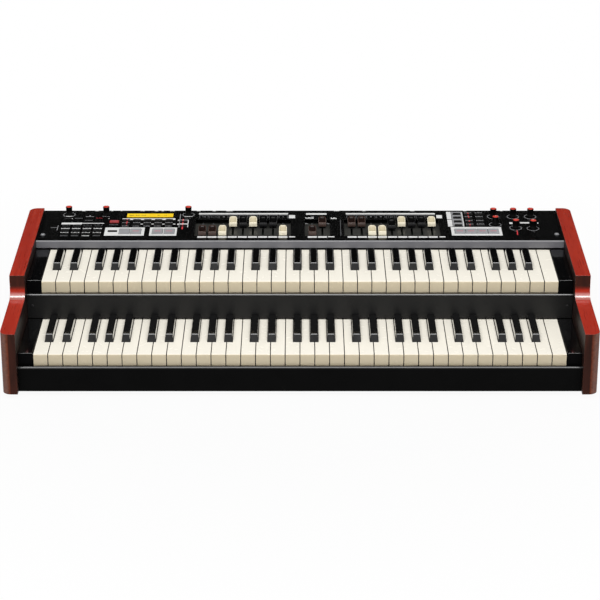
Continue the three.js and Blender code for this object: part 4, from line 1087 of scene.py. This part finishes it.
# Dark felt under the trim, which also stands in for the shade under it, and the folded edges of the rail,
# as their Y and Z
RAIL_HALF = CHEEK_INNER - 0.1
HEEL = ((-213.9, 11.2), (-213.9, 8), (-210, 8), (-211, 9.2))
EDGE = ((-207.4, 48.3), (-207.4, 49.4), (-210.9, 49.3), (-213, 47.65), (-213.7, 46.4), (-213.95, 45),
        (-213, 45), (-211, 47.2))
shade_felt = bmesh.new()
add_block(shade_felt, -MANUAL_HALF, MANUAL_HALF, 84.9, 86.6, 133.7, 137.1)
finish_piece("trim_shade_felt", shade_felt, [SHADE_FELT], "case", bevel=0.2)
heel = bmesh.new()
add_rings(heel, [[(x, y, z) for y, z in HEEL] for x in (-RAIL_HALF, RAIL_HALF)])
finish_piece("rail_heel", heel, [CASE], "case", limit=30)
edge = bmesh.new()
add_rings(edge, [[(x, y, z) for y, z in EDGE] for x in (-RAIL_HALF, RAIL_HALF)])
finish_piece("rail_edge", edge, [CASE], "case", bevel=0.25, limit=24)

# Key blocks, with rounded edges
for block_node in [f"{level}_{side}_key_block" for level in MANUALS for side in ("left", "right")]:
    low, high = (Vector(corner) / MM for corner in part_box(block_node))
    shell = bmesh.new()
    add_block(shell, low.x, high.x, low.y, high.y, low.z, high.z)
    finish_piece(f"{block_node}_shell", shell, [BLOCK], "case", [block_node], bevel=0.9,
                 segments=3)

# Materials and edge widths of the nodes that stay
for node_material, node_bevel, *node_names in (
    (CASE, 0.35, "base_tray"),
    (CASE, 0.2, "rear_panel"),
    (FASCIA, 0.4, "middle_fascia"),
    (PANEL, 0.25, "control_panel"),
    (TRIM, 0.35, "panel_trim"),
    (STEEL, 0, "lower_keybed", "upper_keybed"),
    (TRAY, 0.2, "drawbar_tray"),
    (GLASS, 0.15, "display_window"),
    (MOULDING, 0.2, "jack_block"),
    (MOULDING, 0.3, "power_inlet"),
    (MOULDING, 0.4, "power_switch"),
    (BOARD, 0, "panel_board"),
    (BOARD, 0.3, "power_supply"),
    (FOOT, 0.4, "front_left_foot", "front_right_foot", "rear_left_foot", "rear_right_foot"),
):
    for node_name in node_names:
        dress(node_name, node_material, node_bevel)

# Studio, in metres: a pale floor, soft lamps, black cards for the reflections and a white surround
WHITE_LIGHT = (1, 1, 1, 1)


def stage_plane(name, size, place, material):
    source = bmesh.new()
    half = size / 2
    corners = [source.verts.new(point) for point in
               ((-half, -half, 0), (half, -half, 0), (half, half, 0), (-half, half, 0))]
    source.faces.new(corners)
    mesh = mesh_of(source, name)
    mesh.materials.append(material)
    plane = bpy.data.objects.new(name, mesh)
    plane.matrix_world = place
    scene.collection.objects.link(plane)
    return plane


def seen_rays(tree):
    """One for camera, glossy and transmission rays."""
    path = new_node(tree, "LightPath")
    direct = calculated(tree, "MAXIMUM", path.outputs["Is Camera Ray"], path.outputs["Is Glossy Ray"])
    return calculated(tree, "MAXIMUM", direct, path.outputs["Is Transmission Ray"])


def floor_material():
    """Pale floor that turns white away from the object and keeps the object's shadow."""
    surface = Surface("floor_white", roughness=0.9, specular=0)
    surface.set("Base Color", (0.55, 0.55, 0.55, 1))
    tree = surface.tree
    white = new_node(tree, "Emission", Color=WHITE_LIGHT, Strength=1)
    distance = new_node(tree, "VectorMath")
    distance.operation = "LENGTH"
    surface.link(surface.coords.outputs["Object"], distance.inputs[0])
    fade = surface.spread(distance.outputs["Value"], 0.45, 0.95, 0.94, 1)
    blend = new_node(tree, "MixShader")
    surface.link(calculated(tree, "MULTIPLY", seen_rays(tree), fade), blend.inputs["Fac"])
    surface.link(surface.shader.outputs["BSDF"], blend.inputs[1])
    surface.link(white.outputs["Emission"], blend.inputs[2])
    surface.link(blend.outputs["Shader"], tree.nodes["Material Output"].inputs["Surface"])
    return surface.material


def add_surround():
    """World that lights the object softly and shows white behind it."""
    world = bpy.data.worlds.new("studio")
    world.use_nodes = True
    scene.world = world
    tree = world.node_tree
    soft = tree.nodes["Background"]
    soft.inputs["Color"].default_value = WHITE_LIGHT
    soft.inputs["Strength"].default_value = 0.28
    shown = new_node(tree, "Background", Color=WHITE_LIGHT, Strength=1)
    pick = new_node(tree, "MixShader")
    tree.links.new(seen_rays(tree), pick.inputs["Fac"])
    tree.links.new(soft.outputs["Background"], pick.inputs[1])
    tree.links.new(shown.outputs["Background"], pick.inputs[2])
    tree.links.new(pick.outputs["Shader"], tree.nodes["World Output"].inputs["Surface"])


def lamp(name, place, width, height, energy):
    """Rectangular lamp that looks at the object."""
    data = bpy.data.lights.new(name, "AREA")
    data.shape = "RECTANGLE"
    data.size = width
    data.size_y = height
    data.energy = energy
    holder = bpy.data.objects.new(name, data)
    holder.location = place
    holder.rotation_euler = (Vector((0, 0, 0.1)) - Vector(place)).to_track_quat("-Z", "Y").to_euler()
    scene.collection.objects.link(holder)


def card(name, place, turned, width, depth, material):
    """Black card that only reflections show."""
    size = Matrix.Diagonal((width, depth, 1, 1))
    plane = stage_plane(name, 1, Matrix.Translation(place) @ turned @ size, material)
    plane.visible_camera = False
    plane.visible_shadow = False
    plane.visible_diffuse = False


stage_plane("floor", 30, Matrix.Identity(4), floor_material())
add_surround()
lamp("softbox_above", (0, -0.85, 2.4), 2.8, 0.9, 61)
lamp("softbox_front", (0, -2.6, 2), 2.4, 1, 7)
CARD = plain("card_black", (10, 10, 10), (14, 14, 14), (0.8, 0.9), specular=0)
card("card_behind", (0, 3, 2.8), TO_FRONT, 14, 4.5, CARD)
card("card_above", (0, 0.5, 5), Matrix.Identity(4), 14, 5.4, CARD)

scene.view_settings.view_transform = "Standard"

bpy.context.view_layer.update()
